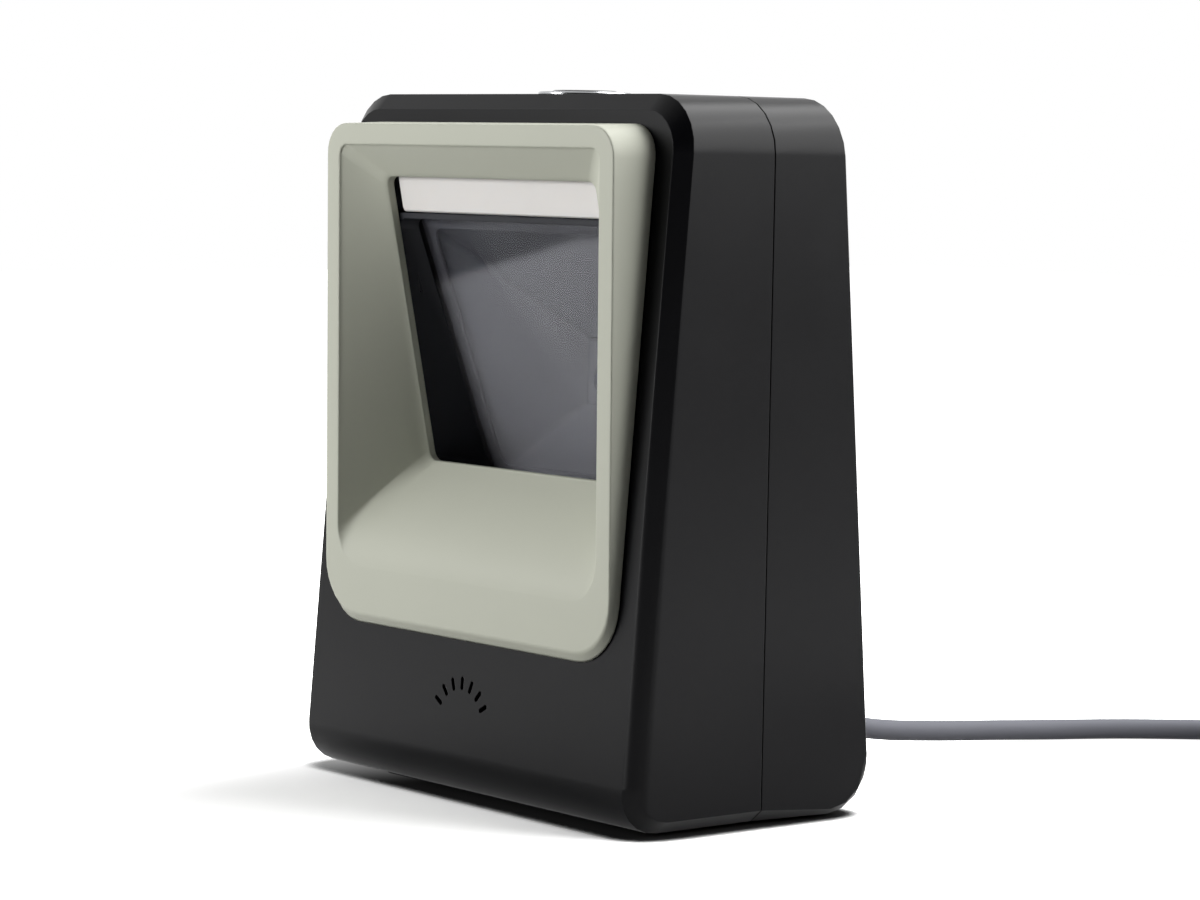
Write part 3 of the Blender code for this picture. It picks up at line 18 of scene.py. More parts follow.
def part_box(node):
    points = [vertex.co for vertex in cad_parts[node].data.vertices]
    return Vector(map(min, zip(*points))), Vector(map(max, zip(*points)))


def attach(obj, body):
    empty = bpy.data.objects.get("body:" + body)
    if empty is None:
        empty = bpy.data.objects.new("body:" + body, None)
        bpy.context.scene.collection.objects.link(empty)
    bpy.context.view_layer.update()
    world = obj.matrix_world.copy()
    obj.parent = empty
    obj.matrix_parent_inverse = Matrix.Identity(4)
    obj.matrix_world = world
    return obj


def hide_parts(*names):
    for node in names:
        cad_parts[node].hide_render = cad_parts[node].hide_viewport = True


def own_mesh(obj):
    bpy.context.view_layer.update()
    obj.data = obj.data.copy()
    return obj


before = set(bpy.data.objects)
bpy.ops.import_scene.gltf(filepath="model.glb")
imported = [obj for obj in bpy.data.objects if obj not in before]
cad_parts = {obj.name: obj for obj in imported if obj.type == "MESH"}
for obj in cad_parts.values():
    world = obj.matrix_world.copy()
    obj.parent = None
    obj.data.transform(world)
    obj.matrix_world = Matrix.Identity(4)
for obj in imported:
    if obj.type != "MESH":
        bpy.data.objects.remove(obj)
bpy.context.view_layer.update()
LOG = logging.getLogger("scanner")
MM = 0.001
WELD = 0.000002
SHARP = math.radians(32.0)

Colour = tuple[float, float, float, float]
Ring = list[Vector]


class Body(Enum):
    """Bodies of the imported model."""

    SCANNER = "scanner"
    BUTTON = "button"


class Slot(Enum):
    """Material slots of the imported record."""

    BLACK_ABS = "black_abs"
    TAUPE_ABS = "taupe_abs"
    BLACK_POLYCARBONATE = "black_polycarbonate"
    WINDOW_GLASS = "window_glass"
    GREY_FOAM = "grey_foam"
    OPAL_POLYCARBONATE = "opal_polycarbonate"
    CIRCUIT_BOARD = "circuit_board"
    CHIP_EPOXY = "chip_epoxy"
    LED_RESIN = "led_resin"
    LENS_GLASS = "lens_glass"
    CREAM_NYLON = "cream_nylon"
    POLYIMIDE = "polyimide"
    STEEL = "steel"
    POLISHED_METAL = "polished_metal"
    GLOSS_BLACK = "gloss_black"
    BLACK_RUBBER = "black_rubber"
    GREY_PVC = "grey_pvc"
    WHITE_NYLON = "white_nylon"


def linear(code: str, tone: float = 1.0) -> Colour:
    """Turn an sRGB hex colour into linear light.

    Args:
        code: Colour such as "#BABCAE".
        tone: Factor on the linear values, for a darker or lighter shade.

    Returns:
        Red, green, blue and an alpha of 1.
    """
    channels = []
    for start in (1, 3, 5):
        value = int(code[start:start + 2], 16) / 255.0
        value = value / 12.92 if value <= 0.04045 else ((value + 0.055) / 1.055) ** 2.4
        channels.append(value * tone)
    return (*channels, 1.0)


def add_node(tree: bpy.types.NodeTree, kind: str, settings: dict | None = None,
             links: dict | None = None, family: str = "ShaderNode") -> bpy.types.Node:
    """Add a node, set it and link its inputs.

    Args:
        tree: Node tree that takes the node.
        kind: Blender's type name after the family.
        settings: Values by property name, or by the name or number of an input.
        links: Output sockets by the name or number of the input that each feeds.
        family: First part of Blender's type name.

    Returns:
        The new node.
    """
    node = tree.nodes.new(family + kind)
    for name, value in (settings or {}).items():
        if isinstance(name, int) or name in node.inputs:
            node.inputs[name].default_value = value
        else:
            setattr(node, name, value)
    for name, source in (links or {}).items():
        tree.links.new(source, node.inputs[name])
    return node


@dataclass(frozen=True)
class Finish(ABC):
    """A surface: what it is made of and how it was made.

    Attributes:
        name: Name of the material.
        colour: Its sRGB colour.
        roughness: Micro-roughness of the surface.
    """

    name: str
    colour: str
    roughness: float

    def material(self) -> bpy.types.Material:
        """Return the finish's material, made at the first call."""
        found = bpy.data.materials.get(self.name)
        if found is not None:
            return found
        made = bpy.data.materials.new(self.name)
        made.use_nodes = True
        made.diffuse_color = linear(self.colour)
        tree = made.node_tree
        shader = tree.nodes["Principled BSDF"]
        shader.inputs["Base Color"].default_value = linear(self.colour)
        shader.inputs["Roughness"].default_value = self.roughness
        place = add_node(tree, "TexCoord").outputs["Object"]
        self.shade(tree, shader, place)
        return made

    @abstractmethod
    def shade(self, tree: bpy.types.NodeTree, shader: bpy.types.Node, place: bpy.types.NodeSocket) -> None:
        """Add the nodes that give the finish its detail.

        Args:
            tree: Node tree of the material.
            shader: Its Principled shader.
            place: Output that gives each point's place in metres.
        """

    def mottle(self, tree: bpy.types.NodeTree, shader: bpy.types.Node, place: bpy.types.NodeSocket,
               size_mm: float, spread: float, rough_spread: float) -> None:
        """Vary colour and roughness softly over the surface.

        Args:
            tree: Node tree of the material.
            shader: Its Principled shader.
            place: Output that gives each point's place in metres.
            size_mm: Size of the clouds.
            spread: Share by which the colour goes up and down.
            rough_spread: Amount by which the roughness goes up and down.
        """
        cloud = add_node(tree, "TexNoise", {"Scale": 1.0 / (size_mm * MM), "Detail": 3.0}, {"Vector": place})
        shade = add_node(tree, "Mix", {"data_type": "RGBA", 6: linear(self.colour, 1.0 - spread),
                                       7: linear(self.colour, 1.0 + spread)}, {0: cloud.outputs["Fac"]})
        tree.links.new(shade.outputs[2], shader.inputs["Base Color"])
        rough = add_node(tree, "MapRange", {"To Min": self.roughness - rough_spread,
                                            "To Max": self.roughness + rough_spread},
                         {"Value": cloud.outputs["Fac"]})
        tree.links.new(rough.outputs["Result"], shader.inputs["Roughness"])


@dataclass(frozen=True)
class MouldedPlastic(Finish):
    """Plastic or rubber out of a mould, with the mould's fine eroded texture and softly broken edges.

    Attributes:
        grain_mm: Size of the mould's grain.
        depth_mm: Depth of the grain.
        cloud_mm: Size of the slow changes in colour and gloss.
        spread: Share by which the colour changes.
        specular: Strength of the surface's own reflection.
        edge_mm: Radius that the eye reads along the edges.
    """

    grain_mm: float = 0.5
    depth_mm: float = 0.01
    cloud_mm: float = 18.0
    spread: float = 0.05
    rough_spread: float = 0.04
    specular: float = 0.5
    edge_mm: float = 0.25

    def shade(self, tree: bpy.types.NodeTree, shader: bpy.types.Node, place: bpy.types.NodeSocket) -> None:
        """Add the clouds, the grain and the rounded edges."""
        self.mottle(tree, shader, place, self.cloud_mm, self.spread, self.rough_spread)
        shader.inputs["Specular IOR Level"].default_value = self.specular
        grain = add_node(tree, "TexNoise", {"Scale": 1.0 / (self.grain_mm * MM), "Detail": 2.0}, {"Vector": place})
        edge = add_node(tree, "Bevel", {"samples": 4, "Radius": self.edge_mm * MM})
        bump = add_node(tree, "Bump", {"Strength": 0.6, "Distance": self.depth_mm * MM},
                        {"Height": grain.outputs["Fac"], "Normal": edge.outputs["Normal"]})
        tree.links.new(bump.outputs["Normal"], shader.inputs["Normal"])


@dataclass(frozen=True)
class OpalPlastic(Finish):
    """Milky plastic that light scatters in, with a slightly frosted skin.

    Attributes:
        scatter_mm: How far the light travels inside.
        weight: Share of the light that goes in.
    """

    scatter_mm: float = 1.5
    weight: float = 0.5

    def shade(self, tree: bpy.types.NodeTree, shader: bpy.types.Node, place: bpy.types.NodeSocket) -> None:
        """Add the scattering and the frosted skin."""
        self.mottle(tree, shader, place, 9.0, 0.02, 0.05)
        shader.inputs["Subsurface Weight"].default_value = self.weight
        shader.inputs["Subsurface Scale"].default_value = self.scatter_mm * MM
        shader.inputs["Subsurface Radius"].default_value = (1.0, 0.9, 0.8)
        frost = add_node(tree, "TexNoise", {"Scale": 1.0 / (0.4 * MM)}, {"Vector": place})
        bump = add_node(tree, "Bump", {"Strength": 0.3, "Distance": 0.01 * MM}, {"Height": frost.outputs["Fac"]})
        tree.links.new(bump.outputs["Normal"], shader.inputs["Normal"])


@dataclass(frozen=True)
class ClearGlass(Finish):
    """Coated float glass with the faint haze that dust and wiping leave.

    Attributes:
        ior: Refractive index that the surfaces show, lower under an anti-reflection coat.
        haze: Share of the light that the haze scatters.
        shade_line_mm: Height above which the haze is cut to a tenth, so the pane is darker there: painted shade under
            the hood.
        shade_line_slope: How much that height rises across the pane.
        shade_top_mm: Height above which the haze is cut to a tenth over the whole width, for the same painted shade.
    """

    ior: float = 1.52
    haze: float = 0.0
    shade_line_mm: float = 1000.0
    shade_line_slope: float = 0.0
    shade_top_mm: float = 1000.0

    def shade(self, tree: bpy.types.NodeTree, shader: bpy.types.Node, place: bpy.types.NodeSocket) -> None:
        """Let light through, scatter some of it in the haze's streaks, and cut the haze in the pane's top as painted
        shade.
        """
        shader.inputs["Transmission Weight"].default_value = 1.0
        shader.inputs["IOR"].default_value = self.ior
        streak = add_node(tree, "TexNoise", {"Scale": 1.0 / (22.0 * MM), "Detail": 3.0, "Distortion": 0.4},
                          {"Vector": place})
        film = add_node(tree, "MapRange", {"From Min": 0.3, "From Max": 0.7, "To Min": 0.9 * self.haze,
                                           "To Max": 1.1 * self.haze}, {"Value": streak.outputs["Fac"]})
        # Painted shade: above a slanted line and above a top strip the haze is cut to a tenth, so the pane's top
        # renders darker, as in the hood's shadow.
        lean = add_node(tree, "VectorMath", {"operation": "DOT_PRODUCT", 1: (-self.shade_line_slope, 0.0, 1.0)},
                        {0: place})
        rise = add_node(tree, "SeparateXYZ", None, {"Vector": place})
        strip = add_node(tree, "Math", {"operation": "ADD", 1: (self.shade_line_mm - self.shade_top_mm) * MM},
                         {0: rise.outputs["Z"]})
        height = add_node(tree, "Math", {"operation": "MAXIMUM"}, {0: lean.outputs["Value"],
                                                                   1: strip.outputs["Value"]})
        veil = add_node(tree, "MapRange", {"interpolation_type": "SMOOTHSTEP", "To Max": 0.1 * self.haze,
                                           "From Min": (self.shade_line_mm - 2.0) * MM,
                                           "From Max": (self.shade_line_mm + 1.0) * MM},
                        {"Value": height.outputs["Value"], "To Min": film.outputs["Result"]})
        dust = add_node(tree, "BsdfDiffuse", {"Color": linear("#D8D8DE")})
        pane = add_node(tree, "MixShader", None, {0: veil.outputs["Result"], 1: shader.outputs["BSDF"],
                                                  2: dust.outputs["BSDF"]})
        ray = add_node(tree, "LightPath")
        through = add_node(tree, "BsdfTransparent", {"Color": linear(self.colour)})
        both = add_node(tree, "MixShader", None, {0: ray.outputs["Is Shadow Ray"], 1: pane.outputs["Shader"],
                                                  2: through.outputs["BSDF"]})
        tree.links.new(both.outputs["Shader"], tree.nodes["Material Output"].inputs["Surface"])


@dataclass(frozen=True)
class CellFoam(Finish):
    """Die-cut cellular foam: matt, with small open cells.

    Attributes:
        cell_mm: Size of a cell.
    """

    cell_mm: float = 0.5

    def shade(self, tree: bpy.types.NodeTree, shader: bpy.types.Node, place: bpy.types.NodeSocket) -> None:
        """Add the cells as pits, over soft clouds of colour."""
        self.mottle(tree, shader, place, 4.0, 0.1, 0.04)
        shader.inputs["Specular IOR Level"].default_value = 0.2
        cells = add_node(tree, "TexVoronoi", {"Scale": 1.0 / (self.cell_mm * MM)}, {"Vector": place})
        bump = add_node(tree, "Bump", {"Strength": 0.8, "Distance": 0.08 * MM}, {"Height": cells.outputs["Distance"]})
        tree.links.new(bump.outputs["Normal"], shader.inputs["Normal"])


@dataclass(frozen=True)
class TracedBoard(Finish):
    """Glass-fibre board under solder mask, with copper tracks that show through it.

    Attributes:
        track: Colour where the mask covers copper.
        pitch_mm: Spacing of the tracks.
        across: True where the tracks run across the piece, False where they run up it.
    """

    track: str = "#2F6B4A"
    pitch_mm: float = 1.6
    across: bool = False

    def shade(self, tree: bpy.types.NodeTree, shader: bpy.types.Node, place: bpy.types.NodeSocket) -> None:
        """Draw the tracks as raised lighter bands that wander in steps."""
        bands = add_node(tree, "TexWave", {"bands_direction": "Z" if self.across else "X", "Distortion": 1.5,
                                           "Detail": 0.0, "Scale": 0.16 / (self.pitch_mm * MM)}, {"Vector": place})
        copper = add_node(tree, "MapRange", {"From Min": 0.55, "From Max": 0.6}, {"Value": bands.outputs["Fac"]})
        shade = add_node(tree, "Mix", {"data_type": "RGBA", 6: linear(self.colour), 7: linear(self.track)},
                         {0: copper.outputs["Result"]})
        tree.links.new(shade.outputs[2], shader.inputs["Base Color"])
        bump = add_node(tree, "Bump", {"Strength": 0.5, "Distance": 0.04 * MM}, {"Height": copper.outputs["Result"]})
        tree.links.new(bump.outputs["Normal"], shader.inputs["Normal"])


@dataclass(frozen=True)
class DrawnMetal(Finish):
    """Metal with the fine lines that turning, stamping or drawing leaves.

    Attributes:
        line_mm: Spacing of the lines.
        depth_mm: Depth of the lines.
    """

    line_mm: float = 0.25
    depth_mm: float = 0.003

    def shade(self, tree: bpy.types.NodeTree, shader: bpy.types.Node, place: bpy.types.NodeSocket) -> None:
        """Add the lines and a soft change of polish."""
        self.mottle(tree, shader, place, 6.0, 0.06, 0.05)
        shader.inputs["Metallic"].default_value = 1.0
        stretch = add_node(tree, "Mapping", {"Scale": (0.05, 0.05, 1.0)}, {"Vector": place})
        lines = add_node(tree, "TexNoise", {"Scale": 1.0 / (self.line_mm * MM)}, {"Vector": stretch.outputs["Vector"]})
        bump = add_node(tree, "Bump", {"Strength": 0.4, "Distance": self.depth_mm * MM},
                        {"Height": lines.outputs["Fac"]})
        tree.links.new(bump.outputs["Normal"], shader.inputs["Normal"])


@dataclass(frozen=True)
class WovenStrap(Finish):
    """Hook-and-loop strap: napped nylon with a coarse weave under the nap.

    Attributes:
        thread_mm: Spacing of the weave.
    """

    thread_mm: float = 0.9

    def shade(self, tree: bpy.types.NodeTree, shader: bpy.types.Node, place: bpy.types.NodeSocket) -> None:
        """Add the weave and the nap's sheen."""
        self.mottle(tree, shader, place, 3.0, 0.2, 0.05)
        shader.inputs["Sheen Weight"].default_value = 0.3
        checks = add_node(tree, "TexVoronoi", {"Scale": 1.0 / (self.thread_mm * MM), "Randomness": 0.3},
                          {"Vector": place})
        bump = add_node(tree, "Bump", {"Strength": 0.7, "Distance": 0.1 * MM}, {"Height": checks.outputs["Distance"]})
        tree.links.new(bump.outputs["Normal"], shader.inputs["Normal"])


# The housing's ABS is near black and satin; its moulded grain of about 0.1 mm is drawn at 0.5 mm, or it would not
# show. The bezel's ABS is a warm light grey with the same grain. Polycarbonate round the optics is matt black, so
# that it swallows stray light. The lead's PVC has a smooth, slightly waxy skin.
FINISHES: dict[Slot, Finish] = {
    Slot.BLACK_ABS: MouldedPlastic("moulded_black_abs", "#030305", 0.32, specular=0.11),
    Slot.TAUPE_ABS: MouldedPlastic("moulded_warm_grey_abs", "#BCBEB0", 0.5, spread=0.02, specular=0.25, edge_mm=0.5),
    Slot.BLACK_POLYCARBONATE: MouldedPlastic("matt_black_polycarbonate", "#1C1D22", 0.6, specular=0.2),
    Slot.WINDOW_GLASS: ClearGlass("coated_float_glass", "#E7E8EA", 0.0, ior=1.08, haze=0.07, shade_line_mm=116.5,
                                  shade_line_slope=0.2, shade_top_mm=120.5),
    Slot.GREY_FOAM: CellFoam("die_cut_grey_foam", "#323236", 0.9),
    Slot.OPAL_POLYCARBONATE: OpalPlastic("moulded_opal_polycarbonate", "#DCD9D6", 0.4),
    Slot.CIRCUIT_BOARD: TracedBoard("solder_masked_board", "#1E4A34", 0.4),
    Slot.CHIP_EPOXY: MouldedPlastic("moulded_chip_epoxy", "#1A1A1C", 0.6, grain_mm=0.3),
    Slot.LED_RESIN: OpalPlastic("cast_led_resin", "#F2EED8", 0.25, scatter_mm=0.8),
    Slot.LENS_GLASS: ClearGlass("coated_lens_glass", "#6C7AA8", 0.0, ior=1.6),
    Slot.CREAM_NYLON: MouldedPlastic("moulded_cream_nylon", "#E6E0CC", 0.45, spread=0.03),
    Slot.POLYIMIDE: TracedBoard("tracked_polyimide_film", "#B8752A", 0.35, track="#8F5418", pitch_mm=1.0),
    Slot.STEEL: DrawnMetal("zinc_plated_steel", "#9A9CA0", 0.35),
    Slot.POLISHED_METAL: DrawnMetal("polished_chrome_plate", "#BCBEC0", 0.2, depth_mm=0.001),
    Slot.GLOSS_BLACK: MouldedPlastic("glossy_black_abs", "#141416", 0.12, depth_mm=0.002, rough_spread=0.02),
    Slot.BLACK_RUBBER: MouldedPlastic("moulded_black_rubber", "#19191B", 0.8, grain_mm=0.7, depth_mm=0.02,
                                      specular=0.25),
    Slot.GREY_PVC: MouldedPlastic("extruded_grey_pvc", "#6C6D74", 0.6, grain_mm=0.8, spread=0.04, specular=0.15, edge_mm=0.1),
    Slot.WHITE_NYLON: MouldedPlastic("moulded_white_nylon", "#E8E8E4", 0.45, spread=0.02),
}
STRAP = WovenStrap("woven_black_strap", "#1C1C1F", 0.85)
GOLD = DrawnMetal("gold_plated_contact", "#D8AE56", 0.2, depth_mm=0.001)


def smoothing() -> bpy.types.NodeTree:
    """Return the node group that shades the round parts of packed triangles smooth."""
    name = "round_parts_smooth"
    if name in bpy.data.node_groups:
        return bpy.data.node_groups[name]
    tree = bpy.data.node_groups.new(name, "GeometryNodeTree")
    tree.is_modifier = True
    for way in ("INPUT", "OUTPUT"):
        tree.interface.new_socket("Geometry", in_out=way, socket_type="NodeSocketGeometry")
    solid = add_node(tree, "GroupInput", family="Node").outputs["Geometry"]
    joined = add_node(tree, "MergeByDistance", {"Distance": WELD}, {"Geometry": solid}, "GeometryNode")
    bare = add_node(tree, "RemoveAttribute", {"Name": "custom_normal"},
                    {"Geometry": joined.outputs["Geometry"]}, "GeometryNode")
    faces = add_node(tree, "SetShadeSmooth", {"domain": "FACE"},
                     {"Geometry": bare.outputs["Geometry"]}, "GeometryNode")
    angle = add_node(tree, "InputMeshEdgeAngle", family="GeometryNode")
    soft = add_node(tree, "Compare", {"operation": "LESS_THAN", "B": SHARP},
                    {"A": angle.outputs["Unsigned Angle"]}, "FunctionNode")
    edges = add_node(tree, "SetShadeSmooth", {"domain": "EDGE"},
                     {"Geometry": faces.outputs["Geometry"], "Shade Smooth": soft.outputs["Result"]}, "GeometryNode")
    add_node(tree, "GroupOutput", None, {"Geometry": edges.outputs["Geometry"]}, "Node")
    return tree


def keep_flats(piece: bpy.types.Object) -> None:
    """Let the large faces of a piece set its shading, so that they stay flat up to their edges."""
    weigh = piece.modifiers.new("flats_stay_flat", "WEIGHTED_NORMAL")
    weigh.keep_sharp = True


def dress(names: Iterable[str], slot: Slot) -> None:
    """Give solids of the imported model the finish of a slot.

    Args:
        names: The solids' node names.
        slot: Slot whose finish they take.
    """
    for name in names:
        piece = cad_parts[name]
        piece.data.materials.clear()
        piece.data.materials.append(FINISHES[slot].material())
        piece.modifiers.new("round_parts_smooth", "NODES").node_group = smoothing()
        keep_flats(piece)
        LOG.info("dressed %s in %s", name, FINISHES[slot].name)


def smooth_mesh(work: bmesh.types.BMesh, name: str, angle: float = 35.0) -> bpy.types.Mesh:
    """Turn a working mesh into a mesh with smooth round parts and sharp edges.

    Args:
        work: Working mesh, which is freed.
        name: Name of the new mesh.
        angle: Angle in degrees above which an edge stays sharp.

    Returns:
        The new mesh.
    """
    bmesh.ops.recalc_face_normals(work, faces=work.faces)
    made = bpy.data.meshes.new(name)
    work.to_mesh(made)
    work.free()
    made.shade_smooth()
    made.set_sharp_from_angle(angle=math.radians(angle))
    return made


def add_piece(name: str, data: bpy.types.ID, finish: Finish, place: Matrix | None = None,
              body: Body = Body.SCANNER) -> bpy.types.Object:
    """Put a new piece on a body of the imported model.

    Args:
        name: Name of the piece.
        data: Its mesh or curve.
        finish: Its finish.
        place: Where it stands; at the origin if left out.
        body: Body that it moves with.

    Returns:
        The new piece.
    """
    made = bpy.data.objects.new(name, data)
    data.materials.append(finish.material())
    bpy.context.scene.collection.objects.link(made)
    if place is not None:
        made.matrix_world = place
    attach(made, body.value)
    LOG.info("built %s on %s", name, body.value)
    return made


def loft(rings: Sequence[Ring], name: str, angle: float = 35.0, joined: bool = False) -> bpy.types.Mesh:
    """Skin a row of rings.

    Args:
        rings: Rings with the same number of points.
        name: Name of the new mesh.
        angle: Angle in degrees above which an edge stays sharp.
        joined: True to join the last ring to the first, False to close both ends with a face.

    Returns:
        The new mesh.
    """
    work = bmesh.new()
    loops = [[work.verts.new(point) for point in row] for row in rings]
    if joined:
        loops.append(loops[0])
    else:
        work.faces.new(loops[0])
        work.faces.new(loops[-1])
    count = len(loops[0])
    for first, second in zip(loops, loops[1:]):
        for i in range(count):
            j = (i + 1) % count
            work.faces.new((first[i], first[j], second[j], second[i]))
    return smooth_mesh(work, name, angle)


def turned(profile: Sequence[tuple[float, float]], name: str, sides: int = 40) -> bpy.types.Mesh:
    """Turn an open profile about Z and close both ends.

    Args:
        profile: Radius and height of each step, from one end to the other.
        name: Name of the new mesh.
        sides: Steps round the axis.

    Returns:
        The new mesh.
    """
    rings = []
    for radius, height in profile:
        turns = [math.tau * i / sides for i in range(sides)]
        rings.append([Vector((radius * math.cos(t), radius * math.sin(t), height)) for t in turns])
    return loft(rings, name, 30.0)


def outline(half: float, low: float, high: float, low_corner: float, high_corner: float,
            side_steps: int = 1, corner_steps: int = 8) -> list[tuple[float, float]]:
    """Closed outline across X and Z with round corners, from the low left corner round.

    Args:
        half: Half of its width.
        low: Its lowest height.
        high: Its greatest height.
        low_corner: Radius of the two low corners.
        high_corner: Radius of the two high corners.
        side_steps: Steps along each straight side.
        corner_steps: Steps round each corner.

    Returns:
        Across and up for each point.
    """
    corners = ((-half + low_corner, low + low_corner, low_corner, 180.0),
               (half - low_corner, low + low_corner, low_corner, 270.0),
               (half - high_corner, high - high_corner, high_corner, 0.0),
               (-half + high_corner, high - high_corner, high_corner, 90.0))
    points: list[tuple[float, float]] = []
    for x, z, radius, start in corners:
        turns = [math.radians(start + 90.0 * step / corner_steps) for step in range(corner_steps + 1)]
        points += [(x + radius * math.cos(turn), z + radius * math.sin(turn)) for turn in turns]
    closed = points + points[:1]
    full = []
    for i, (first, second) in enumerate(zip(closed, closed[1:])):
        steps = side_steps if (i + 1) % (corner_steps + 1) == 0 else 1
        for step in range(steps):
            t = step / steps
            full.append((first[0] + (second[0] - first[0]) * t, first[1] + (second[1] - first[1]) * t))
    return full


def laid(points: Sequence[tuple[float, float]], plane: Callable[[float], float]) -> Ring:
    """Lay an outline on a surface given as Y for each height."""
    return [Vector((x, plane(z), z)) for x, z in points]


def smooth_path(points: Sequence[Sequence[float]], spacing: float) -> list[Vector]:
    """Read evenly spaced points from a smooth curve through the given ones.

    Args:
        points: Points that the curve goes through.
        spacing: Distance between the points that are read.

    Returns:
        Points along the curve, ends included.
    """
    knots = [Vector(point) for point in points]
    knots.insert(0, knots[0] * 2.0 - knots[1])
    knots.append(knots[-1] * 2.0 - knots[-2])
    fine = []
    steps = 24
    for before, start, end, after in zip(knots, knots[1:], knots[2:], knots[3:]):
        for step in range(steps):
            t = step / steps
            fine.append(0.5 * (2.0 * start + (end - before) * t
                               + (2.0 * before - 5.0 * start + 4.0 * end - after) * t ** 2
                               + (3.0 * start - before - 3.0 * end + after) * t ** 3))
    fine.append(knots[-2])
    total = path_length(fine)
    count = max(4, round(total / spacing))
    chosen = [fine[0]]
    travelled = 0.0
    for first, second in zip(fine, fine[1:]):
        travelled += (second - first).length
        if travelled >= total * len(chosen) / count and len(chosen) < count:
            chosen.append(second)
    chosen.append(fine[-1])
    return chosen


def path_length(points: Sequence[Vector]) -> float:
    """Length along a row of points."""
    return sum((second - first).length for first, second in zip(points, points[1:]))


def heading(degrees: float) -> Vector:
    """Unit step on the table in a direction counted from +X."""
    return Vector((math.cos(math.radians(degrees)), math.sin(math.radians(degrees)), 0.0))


def tube(name: str, paths: Sequence[Sequence[Vector]], diameter: float, sides: int = 6) -> bpy.types.Curve:
    """Round tubes along rows of points, as one curve.

    Args:
        name: Name of the new curve.
        paths: Rows of points, one for each tube.
        diameter: Diameter of each tube.
        sides: Steps in a quarter of the tube's round.

    Returns:
        The new curve.
    """
    curve = bpy.data.curves.new(name, "CURVE")
    curve.dimensions = "3D"
    curve.bevel_depth = diameter / 2.0
    curve.bevel_resolution = sides
    curve.use_fill_caps = True
    for path in paths:
        spline = curve.splines.new("POLY")
        spline.points.add(len(path) - 1)
        for target, point in zip(spline.points, path):
            target.co = (*point, 1.0)
        spline.use_smooth = True
    return curve


def sweep(path: Sequence[Vector], radius: float, name: str, sides: int = 10) -> bpy.types.Mesh:
    """Round wire along a row of points, as a closed mesh.

    Args:
        path: Points along the wire.
        radius: Half of the wire's thickness.
        name: Name of the new mesh.
        sides: Steps round the wire.

    Returns:
        The new mesh.
    """
    rings = []
    for point, side, other in carried(path):
        turns = [math.tau * i / sides for i in range(sides)]
        rings.append([point + (side * math.cos(t) + other * math.sin(t)) * radius for t in turns])
    return loft(rings, name, 60.0)


def carried(path: Sequence[Vector]) -> list[tuple[Vector, Vector, Vector]]:
    """Carry two crosswise directions along a path without twisting them.

    Args:
        path: Points along the path.

    Returns:
        Each point with two unit steps across the path there.
    """
    found = []
    side = (path[1] - path[0]).orthogonal().normalized()
    for i, point in enumerate(path):
        ahead = (path[min(i + 1, len(path) - 1)] - path[max(i - 1, 0)]).normalized()
        side = (side - ahead * side.dot(ahead)).normalized()
        found.append((point, side, ahead.cross(side)))
    return found


def softened(name: str, node: str, slot: Slot, edge: float) -> bpy.types.Object:
    """Build a soft piece from its solid, with every sharp edge rolled over.

    Args:
        name: Name of the new piece.
        node: The solid that it stands for.
        slot: Slot whose finish it takes.
        edge: Radius of the rolled edges.

    Returns:
        The new piece.
    """
    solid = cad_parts[node]
    work = bmesh.new()
    work.from_mesh(solid.data)
    bmesh.ops.remove_doubles(work, verts=work.verts, dist=WELD)
    sharp = [item for item in work.edges if item.is_manifold and item.calc_face_angle() > SHARP]
    bmesh.ops.bevel(work, geom=sharp, offset=edge, segments=3, profile=0.5, affect="EDGES", clamp_overlap=True)
    piece = add_piece(name, smooth_mesh(work, name), FINISHES[slot], solid.matrix_world)
    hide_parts(node)
    return piece


@dataclass
class Housing:
    """Front and rear shell on their rubber pad."""

    shells: tuple[str, ...] = ("front_housing", "rear_housing")
    pad_edge: float = 0.00015

    def build(self) -> None:
        """Dress the shells and build the pad."""
        dress(self.shells, Slot.BLACK_ABS)
        softened("grip_pad", "base_pad", Slot.BLACK_RUBBER, self.pad_edge)


